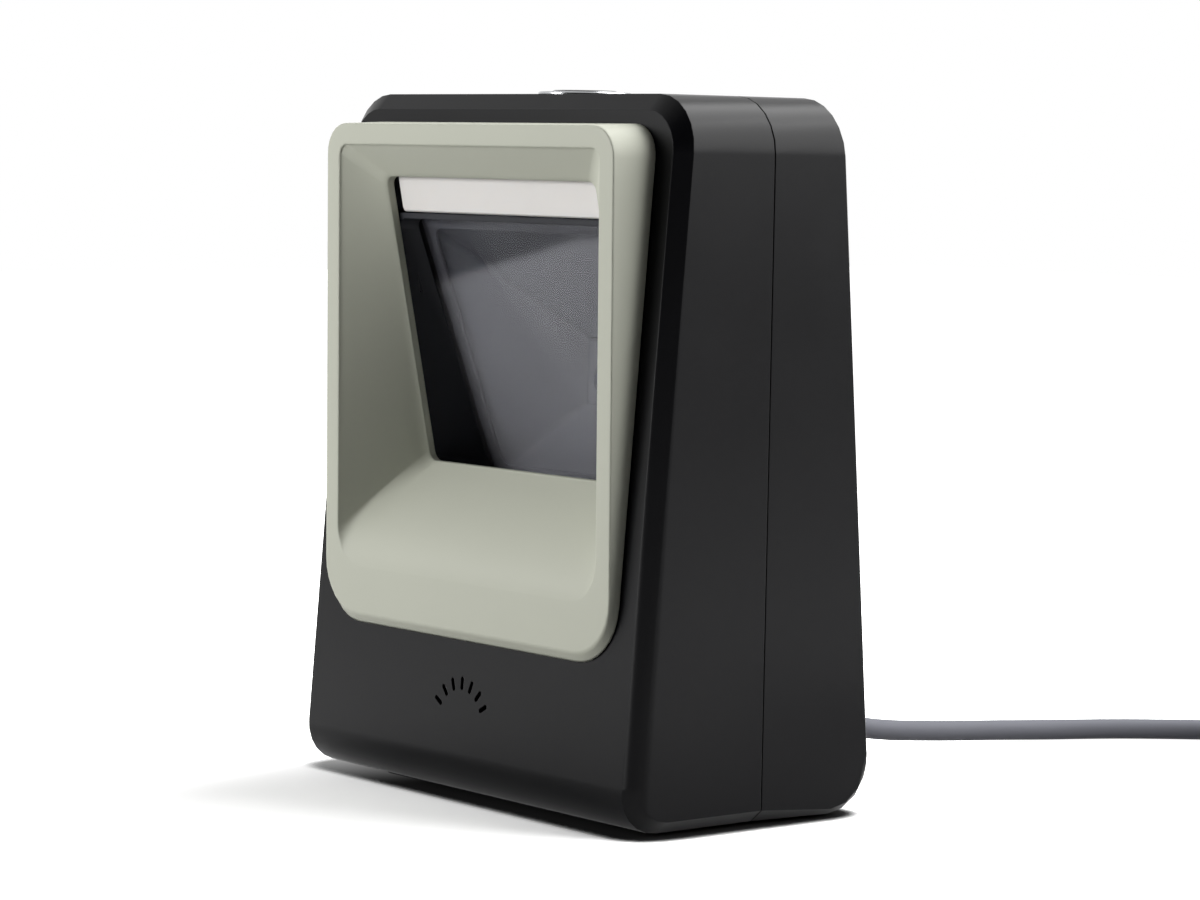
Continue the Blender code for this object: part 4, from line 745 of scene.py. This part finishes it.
@dataclass
class Bezel:
    """Warm grey frame: crisp flat rim, flared flanks, and a funnel whose ramp runs out into the rim.

    It has the solid's outlines and surfaces, with finer steps, crisp edges and tighter low corners in the mouth.
    """

    half: float = 0.0503
    low: float = 0.0343
    high: float = 0.1439
    flare: float = 0.0005
    skirt: float = 0.002
    corners: tuple[float, float] = (0.012, 0.007)
    funnel_half: float = 0.0451
    funnel_low: float = 0.0468
    funnel_high: float = 0.1387
    funnel_corners: tuple[float, float] = (0.0085, 0.0025)
    window_half: float = 0.0366
    window_low: float = 0.069
    window_high: float = 0.1324
    window_corner: float = 0.0025
    window_depths: tuple[float, float] = (0.0184, 0.0059)
    ramp_round: float = 0.009
    lip: float = 0.002
    seat: float = 0.0053
    belly: float = 0.003
    gap: float = 0.0003
    edge: float = 0.0005
    face_low: float = -0.0335
    body_lean: float = 0.08
    rim_lean: float = -0.0016 / 0.15
    rim_setback: float = 0.0016
    side_steps: int = 20
    funnel_steps: int = 14

    def body(self, z: float) -> float:
        """Place of the housing's front behind the bezel."""
        return self.face_low + self.body_lean * z - self.gap

    def rim(self, z: float) -> float:
        """Place of the bezel's flat rim."""
        return self.face_low + self.rim_setback + self.rim_lean * z

    def window(self, z: float) -> float:
        """Place of the sloping window opening."""
        low, high = self.window_low, self.window_high
        near = self.rim(low) + self.window_depths[0]
        far = self.rim(high) + self.window_depths[1]
        return near + (far - near) * (z - low) / (high - low)

    def frame(self, inset: float, foot: float) -> list[tuple[float, float]]:
        """Outer outline, drawn in by an amount, and at its foot by another."""
        low_corner, high_corner = (max(corner - inset, 0.001) for corner in self.corners)
        return outline(self.half - inset, self.low + foot, self.high - inset, low_corner, high_corner,
                       self.side_steps)

    def mouth(self, grow: float) -> list[tuple[float, float]]:
        """Outline of the funnel's mouth, let out by an amount."""
        low_corner, high_corner = (corner + grow for corner in self.funnel_corners)
        return outline(self.funnel_half + grow, self.funnel_low - grow, self.funnel_high + grow, low_corner,
                       high_corner, self.side_steps)

    def opening(self, grow: float) -> list[tuple[float, float]]:
        """Outline of the window opening, let out by an amount."""
        corner = self.window_corner + grow
        return outline(self.window_half + grow, self.window_low - grow, self.window_high + grow, corner, corner,
                       self.side_steps)

    def flanks(self) -> list[Ring]:
        """Rings from the back edge up the flared flank, round its crisp edge and onto the rim."""
        back = laid(self.frame(0.0, 0.0), self.body)
        front = laid(self.frame(self.flare, self.skirt), self.rim)
        rim = laid(self.frame(self.flare + self.edge, self.skirt + self.edge), self.rim)
        flank, turn = [], []
        for outer, corner, inner in zip(back, front, rim):
            flank.append(corner + (outer - corner) * min(self.edge / (outer - corner).length, 0.5))
            turn.append((flank[-1] + inner) * 0.25 + corner * 0.5)
        return [back, flank, turn, rim]

    def funnel(self) -> list[Ring]:
        """Rings from the rim over the mouth's edge and down the funnel to the window opening."""
        start = self.mouth(0.0)
        corner = self.funnel_corners[0]
        downs = [min(max((self.funnel_low + corner - z) / corner, 0.0), 1.0) for _, z in start]
        mouth = [Vector((x, self.rim(z) + self.edge * (1.0 - down), z)) for (x, z), down in zip(start, downs)]
        over = laid(self.mouth(self.edge * 0.3), self.rim)
        over = [point + Vector((0.0, 0.3 * self.edge * (1.0 - down), 0.0)) for point, down in zip(over, downs)]
        window = laid(self.opening(0.0), self.window)
        rings = [laid(self.mouth(self.edge), self.rim), over, mouth]
        for step in range(1, self.funnel_steps):
            t = step / self.funnel_steps
            row = []
            for first, last, down in zip(mouth, window, downs):
                bend = first.lerp(last, 0.5).lerp(first + Vector((0.0, 0.0, self.ramp_round)), down)
                row.append(first * (1.0 - t) ** 2 + bend * 2.0 * t * (1.0 - t) + last * t ** 2)
            rings.append(row)
        return rings + [window]

    def build(self) -> None:
        """Build the frame in place of its solid."""
        rings = self.flanks() + self.funnel()
        turn = self.lip * 0.2
        rings.append(laid(self.opening(-turn), lambda z: self.window(z) + turn))
        rings.append(laid(self.opening(-turn), lambda z: self.window(z) + self.lip))
        back = laid(self.opening(self.lip), lambda z: self.window(z) + self.lip)
        seat = laid(self.frame(self.seat, self.seat), self.body)
        bow = Vector((0.0, self.belly, 0.0))
        rings += [back, [inner.lerp(outer, 0.5) + bow for inner, outer in zip(back, seat)], seat]
        piece = add_piece("bezel", loft(rings, "bezel", joined=True), FINISHES[Slot.TAUPE_ABS])
        keep_flats(piece)
        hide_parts("front_bezel")


@dataclass
class ScanHead:
    """Light bar, glass and the dark chamber behind it."""

    dark: tuple[str, ...] = ("window_shroud", "light_tunnel", "light_bar_holder", "imager_body", "imager_lens_barrel")
    boards: tuple[str, ...] = ("light_bar_board", "imager_board")
    led_count: int = 4
    foam_edge: float = 0.00025
    film_edge: float = 0.00003

    def build(self) -> None:
        """Dress the optics and their carriers."""
        dress(self.dark, Slot.BLACK_POLYCARBONATE)
        dress(("scan_window",), Slot.WINDOW_GLASS)
        softened("window_foam", "window_gasket", Slot.GREY_FOAM, self.foam_edge)
        dress(("light_bar_diffuser",), Slot.OPAL_POLYCARBONATE)
        dress((f"light_bar_led_{i + 1}" for i in range(self.led_count)), Slot.LED_RESIN)
        dress(("aimer_lens",), Slot.LED_RESIN)
        dress(("imager_lens",), Slot.LENS_GLASS)
        softened("imager_ribbon", "imager_flex", Slot.POLYIMIDE, self.film_edge)
        dress(self.boards, Slot.CIRCUIT_BOARD)


@dataclass(frozen=True)
class InnerLead:
    """Thin wires twisted together along one lead inside the housing.

    Attributes:
        node: The solid that they stand for.
        wire: Diameter of one wire.
        count: Number of wires.
        path_mm: Points along the lead.
        lay: Length of one twist.
    """

    node: str
    wire: float
    count: int
    path_mm: tuple[tuple[float, float, float], ...]
    lay: float = 0.012

    def build(self) -> None:
        """Build the wires as one piece."""
        path = smooth_path([Vector(point) * MM for point in self.path_mm], self.wire / 2.0)
        radius = self.wire / (2.0 * math.sin(math.pi / self.count))
        strands: list[Ring] = [[] for _ in range(self.count)]
        along = 0.0
        for i, (point, side, other) in enumerate(carried(path)):
            along += (point - path[i - 1]).length if i else 0.0
            for k, strand in enumerate(strands):
                turn = math.tau * (along / self.lay + k / self.count)
                strand.append(point + (side * math.cos(turn) + other * math.sin(turn)) * radius)
        name = "twisted_" + self.node
        piece = add_piece(name, tube(name, strands, self.wire, 3), FINISHES[Slot.BLACK_RUBBER])
        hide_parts(self.node)


@dataclass
class Electronics:
    """Main board with what it carries, the beeper and the inner leads."""

    foam_edge: float = 0.0002
    leads: tuple[InnerLead, ...] = (
        InnerLead("lead_bundle", 0.0013, 4, ((0, 27.04, 17), (0, 25.04, 17), (0, 20.74, 17), (0, 16.74, 21),
                                             (0, 16.74, 26.4))),
        InnerLead("beeper_lead", 0.0008, 2, ((1.6, -21.06, 21), (1.6, -17.06, 21), (8, -9.06, 19.4),
                                             (22, 8.24, 28.4), (28, 16.24, 30), (28, 20.24, 30))),
        InnerLead("button_lead", 0.0008, 2, ((8, -1, 137.8), (8, -1, 133.8), (36.6, 4, 125.8), (45.6, 10.5, 101),
                                             (45.6, 10.5, 89), (36, 12.24, 59), (28, 16.24, 55),
                                             (28, 20.24, 55))),
        InnerLead("light_bar_lead", 0.0008, 2, ((-33.6, -15.25, 128.4), (-33.6, -11.55, 128.4),
                                                (-45.6, 4, 116.4), (-45.6, 10.5, 101), (-45.6, 10.5, 89),
                                                (-36, 12.24, 59), (-28, 16.24, 55), (-28, 20.24, 55))))

    def build(self) -> None:
        """Dress the boards, chips and sockets, and build the foam and the leads."""
        dress(("main_board", "button_board"), Slot.CIRCUIT_BOARD)
        dress(("processor_chip", "memory_chip", "beeper", "button_switch"), Slot.CHIP_EPOXY)
        dress(("flex_socket", "cable_socket", "cable_plug"), Slot.CREAM_NYLON)
        softened("beeper_foam", "beeper_gasket", Slot.GREY_FOAM, self.foam_edge)
        for lead in self.leads:
            lead.build()


@dataclass
class TriggerButton:
    """Round button on the top, its collar and its spring."""

    spring_radius: float = 0.0052
    wire: float = 0.00045
    turns: float = 5.0
    end_rise: float = 1.2
    steps: int = 36
    travel: float = 0.0008

    def build(self) -> None:
        """Dress the button and its collar, and build the spring."""
        dress(("trigger_button",), Slot.GLOSS_BLACK)
        dress(("button_collar",), Slot.POLISHED_METAL)
        low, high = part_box("button_spring")
        middle = (low + high) / 2.0
        flat = self.end_rise * self.wire
        rise = high.z - low.z - self.wire - 2.0 * flat
        path = []
        for step in range(round(self.turns * self.steps) + 1):
            turn = step / self.steps
            climb = min(max((turn - 1.0) / (self.turns - 2.0), 0.0), 1.0)
            ends = min(turn, 1.0) + max(turn - self.turns + 1.0, 0.0)
            spot = heading(360.0 * turn) * self.spring_radius
            path.append(spot + Vector((middle.x, middle.y, low.z + self.wire / 2.0 + rise * climb + flat * ends)))
        spring = add_piece("return_spring", sweep(path, self.wire / 2.0, "return_spring"), FINISHES[Slot.STEEL])
        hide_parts("button_spring")
        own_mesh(spring)


@dataclass(frozen=True)
class Screw:
    """Thread-forming screw with a pan head and a cross recess.

    Attributes:
        kind: First part of the solids' names.
        count: Number of screws.
        shank: Radius over the thread.
        head: Radius of the head.
        head_height: Height of the head.
        tip: Direction of the tip along Y.
    """

    kind: str
    count: int
    shank: float
    head: float
    head_height: float
    tip: float
    sides: int = 48

    def ring(self, radius: float, height: float) -> Ring:
        """Circle round the screw's axis."""
        turns = [math.tau * i / self.sides for i in range(self.sides)]
        return [Vector((radius * math.cos(t), radius * math.sin(t), height)) for t in turns]

    def cross(self, share: float, height: float) -> Ring:
        """Outline of the cross recess, as a share of the head's radius."""
        points = []
        arm, wide = self.head * share, self.head * share * 0.32
        for i in range(self.sides):
            turn = math.tau * (i + 0.5) / self.sides
            over, up = abs(math.cos(turn)), abs(math.sin(turn))
            reach = max(min(arm / over, wide / up), min(arm / up, wide / over))
            points.append(Vector((reach * math.cos(turn), reach * math.sin(turn), height)))
        return points

    def mesh(self, length: float) -> bpy.types.Mesh:
        """Model of the screw from its tip to the top of its head.

        Args:
            length: Length of the whole screw.

        Returns:
            The new mesh.
        """
        under = length - self.head_height
        pitch = self.shank * 0.7
        rings = [self.ring(self.shank * 0.3, 0.0), self.ring(self.shank * 0.75, self.shank * 0.5)]
        threads = int((under - self.shank) / pitch)
        for i in range(threads):
            start = self.shank * 0.5 + pitch * (i + 0.5)
            rings += [self.ring(self.shank, start), self.ring(self.shank * 0.78, start + pitch * 0.4)]
        rings += [self.ring(self.shank, under), self.ring(self.head, under),
                  self.ring(self.head, length - self.head_height * 0.4), self.ring(self.head * 0.9, length - 0.0002),
                  self.ring(self.head * 0.75, length), self.cross(0.62, length),
                  self.cross(0.4, length - self.head_height * 0.6)]
        return loft(rings, self.kind, 25.0)

    def build(self) -> None:
        """Build the screws in place of their solids."""
        for i in range(self.count):
            node = f"{self.kind}_{i + 1}"
            low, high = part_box(node)
            middle = (low + high) / 2.0
            start = Vector((middle.x, high.y if self.tip > 0.0 else low.y, middle.z))
            turn = Matrix.Rotation(math.radians(90.0 * self.tip), 4, "X")
            piece = add_piece("driven_" + node, self.mesh(high.y - low.y), FINISHES[Slot.STEEL],
                              Matrix.Translation(start) @ turn)
            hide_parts(node)


SCREWS = (Screw("housing_screw", 4, 0.0013, 0.0027, 0.0018, -1.0),
          Screw("bezel_screw", 4, 0.0009, 0.0019, 0.0012, -1.0),
          Screw("main_screw", 2, 0.0009, 0.0019, 0.0012, 1.0),
          Screw("imager_screw", 2, 0.0009, 0.0019, 0.0012, 1.0))


@dataclass
class Lead:
    """Grey USB lead: boot, free stretch, put-away coil with its strap, and the plug.

    The route's points are those of the solids; the coil and the tail follow from the lead's length.
    """

    diameter: float = 0.0048
    length: float = 1.5
    boot_length: float = 0.011
    gap: float = 0.0003
    coil_pitch: float = 0.0056
    coil_loops: int = 7
    coil_exit: float = 8.0
    coil_lift: float = 0.0014
    coil_steps: int = 60
    tail_flat: float = 0.022
    tail_fall: float = 0.030
    tail_steps: int = 28
    plug_height: float = 0.0082
    boot_ribs: int = 5
    grip_ridges: int = 7
    contact_places: tuple[float, ...] = (-0.0035, -0.00115, 0.00115, 0.0035)
    strap_wide: float = 0.009
    strap_thick: float = 0.0008
    strap_clear: float = 0.0005
    strap_corner: float = 0.002
    strap_angle: float = -60.0
    arrival: tuple[float, float] = (0.064, 0.1941)
    arrival_heading: float = 31.0
    route: tuple[tuple[float, float, float], ...] = (
        (0.0, 0.049, 0.0167), (0.0, 0.056, 0.0154), (0.0, 0.064, 0.0129), (0.0001, 0.072, 0.0098),
        (0.0003, 0.080, 0.0073), (0.0005, 0.087, 0.0059), (0.001, 0.094, 0.005), (0.0016, 0.101, 0.0044),
        (0.0024, 0.108, 0.0039), (0.0034, 0.115, 0.0035), (0.0047, 0.122, 0.0032), (0.0063, 0.129, 0.0029),
        (0.0087, 0.137, 0.0026), (0.012, 0.145, 0.0025), (0.0165, 0.153, 0.0025), (0.022, 0.161, 0.0025),
        (0.029, 0.169, 0.0026), (0.037, 0.1765, 0.0028), (0.046, 0.183, 0.0031), (0.055, 0.1887, 0.0035))

    def __post_init__(self) -> None:
        """Work out the lead's centreline."""
        low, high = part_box("strain_relief")
        self.exit = Vector((0.0, high.y, (low.z + high.z) / 2.0))
        arrive = heading(self.arrival_heading)
        start = Vector((*self.arrival, self.diameter / 2.0 + self.coil_lift))
        run = smooth_path([self.exit, *self.route, start], self.diameter / 2.0)
        self.turns = self.coil_loops + (self.arrival_heading + 90.0 - self.coil_exit) / 360.0
        tail = self.tail_flat + self.tail_fall + self.diameter
        spare = self.length - path_length(run) - self.boot_length - tail - self.diameter
        self.layer_turns = (self.turns - 0.5) / 2.0
        self.outer_radius = spare / (math.tau * self.turns) + self.coil_pitch * (self.layer_turns + 0.25) / 2.0
        begin = start + arrive * self.diameter
        self.centre = begin + heading(self.arrival_heading - 90.0) * self.outer_radius
        self.leave = heading(self.coil_exit - 90.0)
        self.points = run + self.coil()
        self.points += self.tail(self.points[-1])

    def coil(self) -> Ring:
        """Spiral in on the low layer, climb where it reverses, and spiral out above."""
        points = []
        count = round(self.turns * self.coil_steps)
        for step in range(count + 1):
            turn = self.turns * step / count
            inward = min(turn, self.layer_turns + 0.25) - max(turn - self.layer_turns - 0.25, 0.0)
            climb = min(max((turn - self.layer_turns) / 0.5, 0.0), 1.0)
            climb = climb ** 2 * (3.0 - 2.0 * climb)
            spot = self.centre + heading(self.arrival_heading + 90.0 - 360.0 * turn) * (
                self.outer_radius - self.coil_pitch * inward)
            points.append(Vector((spot.x, spot.y, self.centre.z + self.coil_pitch * climb)))
        return points

    def tail(self, start: Vector) -> Ring:
        """Run level off the coil, down to the plug and level into it.

        Args:
            start: Last point of the coil.

        Returns:
            Points after the coil.
        """
        points = []
        fall = start.z - self.plug_height / 2.0 - self.gap
        for step in range(1, self.tail_steps + 1):
            along = (self.tail_flat + self.tail_fall) * step / self.tail_steps
            share = min(max((along - self.tail_flat) / self.tail_fall, 0.0), 1.0)
            drop = fall * share ** 2 * (3.0 - 2.0 * share)
            points.append(start + self.leave * along - Vector((0.0, 0.0, drop)))
        points.append(points[-1] + self.leave * self.diameter)
        return points

    def boot(self) -> None:
        """Build the ribbed rubber boot where the lead leaves the rear shell."""
        low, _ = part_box("strain_relief")
        steps = [(6.2, 0.0), (6.2, 1.5), (4.4, 1.5), (4.4, 5.5), (5.0, 5.5), (5.2, 5.7), (5.2, 6.8), (5.0, 7.0)]
        for i in range(self.boot_ribs):
            start, radius = 7.2 + 1.8 * i, 4.9 - 0.36 * i
            steps += [(radius - 0.75, start), (radius - 0.75, start + 0.6), (radius - 0.15, start + 0.75),
                      (radius, start + 0.95), (radius, start + 1.45), (radius - 0.15, start + 1.65)]
        steps += [(3.1, 16.3), (2.9, (self.exit.y - low.y) / MM)]
        mesh = turned([(radius * MM, height * MM) for radius, height in steps], "ribbed_boot")
        place = Matrix.Translation((self.exit.x, low.y, self.exit.z)) @ Matrix.Rotation(math.radians(-90.0), 4, "X")
        piece = add_piece("ribbed_boot", mesh, FINISHES[Slot.BLACK_RUBBER], place)
        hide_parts("strain_relief")

    def strap(self) -> bpy.types.Object:
        """Build the strap round the coil: once about it and on over itself to a free end.

        Returns:
            The new piece.
        """
        room = self.diameter / 2.0 + self.strap_clear
        near = self.outer_radius - self.coil_pitch * (self.layer_turns + 0.25) - room
        far = self.outer_radius + room
        low, high = self.centre.z - room, self.centre.z + self.coil_pitch + room
        half = (far - near) / 2.0
        shape = outline(half, low, high, self.strap_corner, self.strap_corner, 8)
        first = next(i for i, (x, z) in enumerate(shape) if z == high and x < 0.5 * half)
        path = [Vector((x, 0.0, z)) for x, z in shape[first:] + shape[:first + 1]]
        lap = path[-1]
        lift = self.strap_thick * 1.15
        for share in (0.25, 0.5, 0.75, 1.0):
            path.append(Vector((lap.x - half * share, 0.0, high + lift * min(1.0, 2.0 * share))))
        rings = []
        for i, point in enumerate(path):
            ahead = path[min(i + 1, len(path) - 1)] - path[max(i - 1, 0)]
            out = Vector((ahead.z, 0.0, -ahead.x)).normalized() * self.strap_thick
            side = Vector((0.0, self.strap_wide / 2.0, 0.0))
            rings.append([point - side, point + side, point + side + out, point - side + out])
        place = Matrix.Translation(Vector((self.centre.x, self.centre.y, 0.0))
                                   + heading(self.strap_angle) * (near + far) / 2.0)
        piece = add_piece("coil_strap", loft(rings, "coil_strap"), STRAP,
                          place @ Matrix.Rotation(math.radians(self.strap_angle), 4, "Z"))
        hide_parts("cable_tie")
        return piece

    def plug(self) -> list[bpy.types.Object]:
        """Build the plug's ridged grip and its contacts, and dress its shell and tongue.

        Returns:
            The pieces of the plug.
        """
        start = self.points[-1] + self.leave * self.gap
        turn = math.atan2(self.leave.y, self.leave.x) - math.pi / 2.0
        place = Matrix.Translation(start) @ Matrix.Rotation(turn, 4, "Z")
        sizes = [(3.1, 3.1, 0.0), (3.3, 3.3, 0.3), (3.75, 3.3, 5.0), (7.1, 4.1, 8.0), (8.0, 4.1, 11.0)]
        for i in range(self.grip_ridges):
            along = 12.0 + 2.0 * i
            sizes += [(8.0, 4.1, along), (7.5, 4.0, along + 0.3), (7.5, 4.0, along + 0.9), (8.0, 4.1, along + 1.2)]
        sizes += [(8.0, 4.1, 27.1), (7.7, 3.8, 27.7), (7.1, 3.2, 28.0)]
        rings = []
        for wide, tall, along in sizes:
            corner = 0.5 * tall * MM
            shape = outline(wide * MM, -tall * MM, tall * MM, corner, corner)
            rings.append([Vector((x, along * MM, z)) for x, z in shape])
        grip = add_piece("ridged_plug_grip", loft(rings, "ridged_plug_grip", 50.0), FINISHES[Slot.GREY_PVC],
                         place)
        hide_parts("usb_plug_grip")
        dress(("usb_plug_shell",), Slot.STEEL)
        dress(("usb_plug_tongue",), Slot.WHITE_NYLON)
        _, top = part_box("usb_plug_tongue")
        work = bmesh.new()
        for x in self.contact_places:
            size = Matrix.Diagonal((0.001, 0.0085, 0.00008, 1.0))
            spot = Matrix.Translation((x, 0.0405, top.z - start.z + 0.00005))
            made = bmesh.ops.create_cube(work, size=1.0, matrix=spot @ size)
            edges = {edge for vert in made["verts"] for edge in vert.link_edges}
            bmesh.ops.bevel(work, geom=list(edges), offset=0.00003, segments=2, affect="EDGES")
        contacts = add_piece("plug_contacts", smooth_mesh(work, "plug_contacts"), GOLD, place)
        return [grip, contacts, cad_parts["usb_plug_shell"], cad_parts["usb_plug_tongue"]]

    def build(self) -> None:
        """Build the lead with its boot, strap and plug."""
        self.boot()
        lead = add_piece("usb_lead", tube("usb_lead", [self.points], self.diameter), FINISHES[Slot.GREY_PVC])
        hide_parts("usb_cable", "usb_coil")
        on_it = [self.strap(), *self.plug()]


@dataclass(frozen=True)
class Lamp:
    """Soft rectangular lamp.

    Attributes:
        name: Its name.
        place: Where it hangs.
        size: Its two sides.
        watts: Its power.
        aim: Point that it faces.
    """

    name: str
    place: tuple[float, float, float]
    size: tuple[float, float]
    watts: float
    aim: tuple[float, float, float] = (0.0, 0.0, 0.08)

    def build(self) -> None:
        """Hang the lamp."""
        data = bpy.data.lights.new(self.name, "AREA")
        data.shape = "RECTANGLE"
        data.size, data.size_y = self.size
        data.energy = self.watts
        made = bpy.data.objects.new(self.name, data)
        made.location = self.place
        made.rotation_euler = (Vector(self.aim) - Vector(self.place)).to_track_quat("-Z", "Y").to_euler()
        bpy.context.scene.collection.objects.link(made)


@dataclass
class Studio:
    """Camera, white table, lamps and surroundings."""

    focal_px: float = 3734.92
    image_width: int = 1200
    sensor_mm: float = 36.0
    azimuth: float = 51.0
    elevation: float = 4.5
    distance: float = 0.8024
    target: tuple[float, float, float] = (0.00634, -0.0002, 0.07427)
    roll: float = 1.05
    floor_size: float = 6.0
    floor_grey: float = 0.12
    floor_in_gloss: float = 1.0
    floor_seen: float = 1.7
    floor_near: float = 0.09
    floor_far: float = 0.18
    tent_level: float = 0.35
    skirt_level: float = 1.0
    floor_centre: tuple[float, float, float] = (0.06, -0.06, 0.0)
    # The next two set the reach and the darkness of the painted contact shadow on the floor.
    painted_shadow_reach: float = 0.006
    painted_shadow_dark: float = 0.02
    room_level: float = 0.04
    room_edge: tuple[float, float] = (-0.1, 0.6)
    lamps: tuple[Lamp, ...] = field(default_factory=lambda: (
        Lamp("overhead_softbox", (0.05, 0.42, 0.68), (0.5, 0.5), 4.5),
        Lamp("front_softbox", (-0.4, -0.9, 0.3), (0.4, 0.4), 7.9),
        Lamp("right_softbox", (0.35, 0.283, 0.34), (0.4, 0.4), 3.3),
        Lamp("left_softbox", (-0.55, -0.45, 0.42), (0.4, 0.4), 0.5),
    ))

    def build(self) -> None:
        """Set up the whole studio."""
        bpy.context.scene.view_settings.view_transform = "Standard"
        self.camera()
        self.floor()
        self.world()
        for lamp in self.lamps:
            lamp.build()

    def back(self) -> Vector:
        """Unit step from the object to the camera."""
        az, el = math.radians(self.azimuth), math.radians(self.elevation)
        return Vector((math.sin(az) * math.cos(el), -math.cos(az) * math.cos(el), math.sin(el)))

    def camera(self) -> None:
        """Stand the camera where the photograph was taken."""
        back = self.back()
        right = (-back).cross(Vector((0.0, 0.0, 1.0))).normalized()
        up = right.cross(-back)
        turn = Matrix.Rotation(math.radians(self.roll), 3, back)
        axes = Matrix((turn @ right, turn @ up, back)).transposed()
        data = bpy.data.cameras.new("photo_camera")
        data.sensor_fit = "HORIZONTAL"
        data.sensor_width = self.sensor_mm
        data.lens = self.focal_px / self.image_width * self.sensor_mm
        made = bpy.data.objects.new("photo_camera", data)
        made.matrix_world = Matrix.Translation(Vector(self.target) + back * self.distance) @ axes.to_4x4()
        bpy.context.scene.collection.objects.link(made)
        bpy.context.scene.camera = made

    def floor(self) -> None:
        """Lay the white table; seen straight on it is lifted to white, it keeps the shadow, and a painted contact
        shadow darkens it next to the body.
        """
        work = bmesh.new()
        bmesh.ops.create_grid(work, x_segments=1, y_segments=1, size=self.floor_size / 2.0)
        mesh = bpy.data.meshes.new("white_table")
        work.to_mesh(mesh)
        work.free()
        made = bpy.data.objects.new("white_table", mesh)
        made.location = self.floor_centre
        bpy.context.scene.collection.objects.link(made)
        paint = bpy.data.materials.new("matt_white_board")
        paint.use_nodes = True
        tree = paint.node_tree
        shader = tree.nodes["Principled BSDF"]
        shader.inputs["Roughness"].default_value = 0.9
        shader.inputs["Specular IOR Level"].default_value = 0.0
        ray = add_node(tree, "LightPath")
        seen = add_node(tree, "Math", {"operation": "MAXIMUM"}, {0: ray.outputs["Is Camera Ray"],
                                                                 1: ray.outputs["Is Transmission Ray"]})
        gloss = add_node(tree, "MapRange", {"To Min": self.floor_grey, "To Max": self.floor_in_gloss},
                         {"Value": ray.outputs["Is Glossy Ray"]})
        # Painted shadow: ambient occlusion darkens the floor, as the camera sees it, next to the body.
        painted_shadow_ao = add_node(tree, "AmbientOcclusion", {"samples": 12, "Distance": self.painted_shadow_reach})
        contact = add_node(tree, "MapRange", {"From Min": 0.6, "From Max": 0.9, "To Min": self.painted_shadow_dark,
                                              "To Max": self.floor_seen}, {"Value": painted_shadow_ao.outputs["AO"]})
        shade = add_node(tree, "MapRange", None, {"Value": seen.outputs["Value"],
                                                  "To Min": gloss.outputs["Result"],
                                                  "To Max": contact.outputs["Result"]})
        tree.links.new(shade.outputs["Result"], shader.inputs["Base Color"])
        place = add_node(tree, "TexCoord")
        reach = add_node(tree, "VectorMath", {"operation": "LENGTH"}, {0: place.outputs["Object"]})
        away = add_node(tree, "MapRange", {"interpolation_type": "SMOOTHSTEP", "From Min": self.floor_near,
                                           "From Max": self.floor_far}, {"Value": reach.outputs["Value"]})
        faint = add_node(tree, "Math", {"operation": "MULTIPLY", 1: self.floor_in_gloss},
                         {0: ray.outputs["Is Glossy Ray"]})
        clear = add_node(tree, "Math", {"operation": "MAXIMUM"}, {0: seen.outputs["Value"],
                                                                  1: faint.outputs["Value"]})
        glow = add_node(tree, "Math", {"operation": "MULTIPLY"}, {0: away.outputs["Result"],
                                                                  1: clear.outputs["Value"]})
        shader.inputs["Emission Color"].default_value = (1.0, 1.0, 1.0, 1.0)
        tree.links.new(glow.outputs["Value"], shader.inputs["Emission Strength"])
        mesh.materials.append(paint)

    def world(self) -> None:
        """Surround the table with a white tent that is open on a dark room behind the camera."""
        world = bpy.data.worlds.new("studio")
        bpy.context.scene.world = world
        world.use_nodes = True
        tree = world.node_tree
        ray = add_node(tree, "LightPath")
        seen = add_node(tree, "Math", {"operation": "MAXIMUM"}, {0: ray.outputs["Is Camera Ray"],
                                                                 1: ray.outputs["Is Transmission Ray"]})
        way = add_node(tree, "TexCoord")
        toward = add_node(tree, "VectorMath", {"operation": "DOT_PRODUCT", 1: self.back()},
                          {0: way.outputs["Generated"]})
        rise = add_node(tree, "SeparateXYZ", None, {"Vector": way.outputs["Generated"]})
        roof = add_node(tree, "MapRange", {"interpolation_type": "SMOOTHSTEP", "From Max": 0.8,
                                           "To Min": self.skirt_level}, {"Value": rise.outputs["Z"]})
        tent = add_node(tree, "MapRange", {"To Min": self.tent_level},
                        {"Value": ray.outputs["Is Glossy Ray"], "To Max": roof.outputs["Result"]})
        sweep = add_node(tree, "MapRange", {"interpolation_type": "SMOOTHSTEP", "From Min": self.room_edge[0],
                                            "From Max": self.room_edge[1], "To Max": self.room_level},
                         {"Value": toward.outputs["Value"], "To Min": tent.outputs["Result"]})
        level = add_node(tree, "Math", {"operation": "MAXIMUM"}, {0: sweep.outputs["Result"],
                                                                  1: seen.outputs["Value"]})
        tree.nodes["Background"].inputs["Color"].default_value = (1.0, 1.0, 1.0, 1.0)
        tree.links.new(level.outputs["Value"], tree.nodes["Background"].inputs["Strength"])


def main() -> None:
    """Build every sub-assembly in order."""
    logging.basicConfig(level=logging.INFO, format="%(message)s")
    Studio().build()
    Lead().build()
    for part in (Housing(), Bezel(), ScanHead(), Electronics(), TriggerButton(), *SCREWS):
        part.build()


if __name__ == "__main__":
    main()
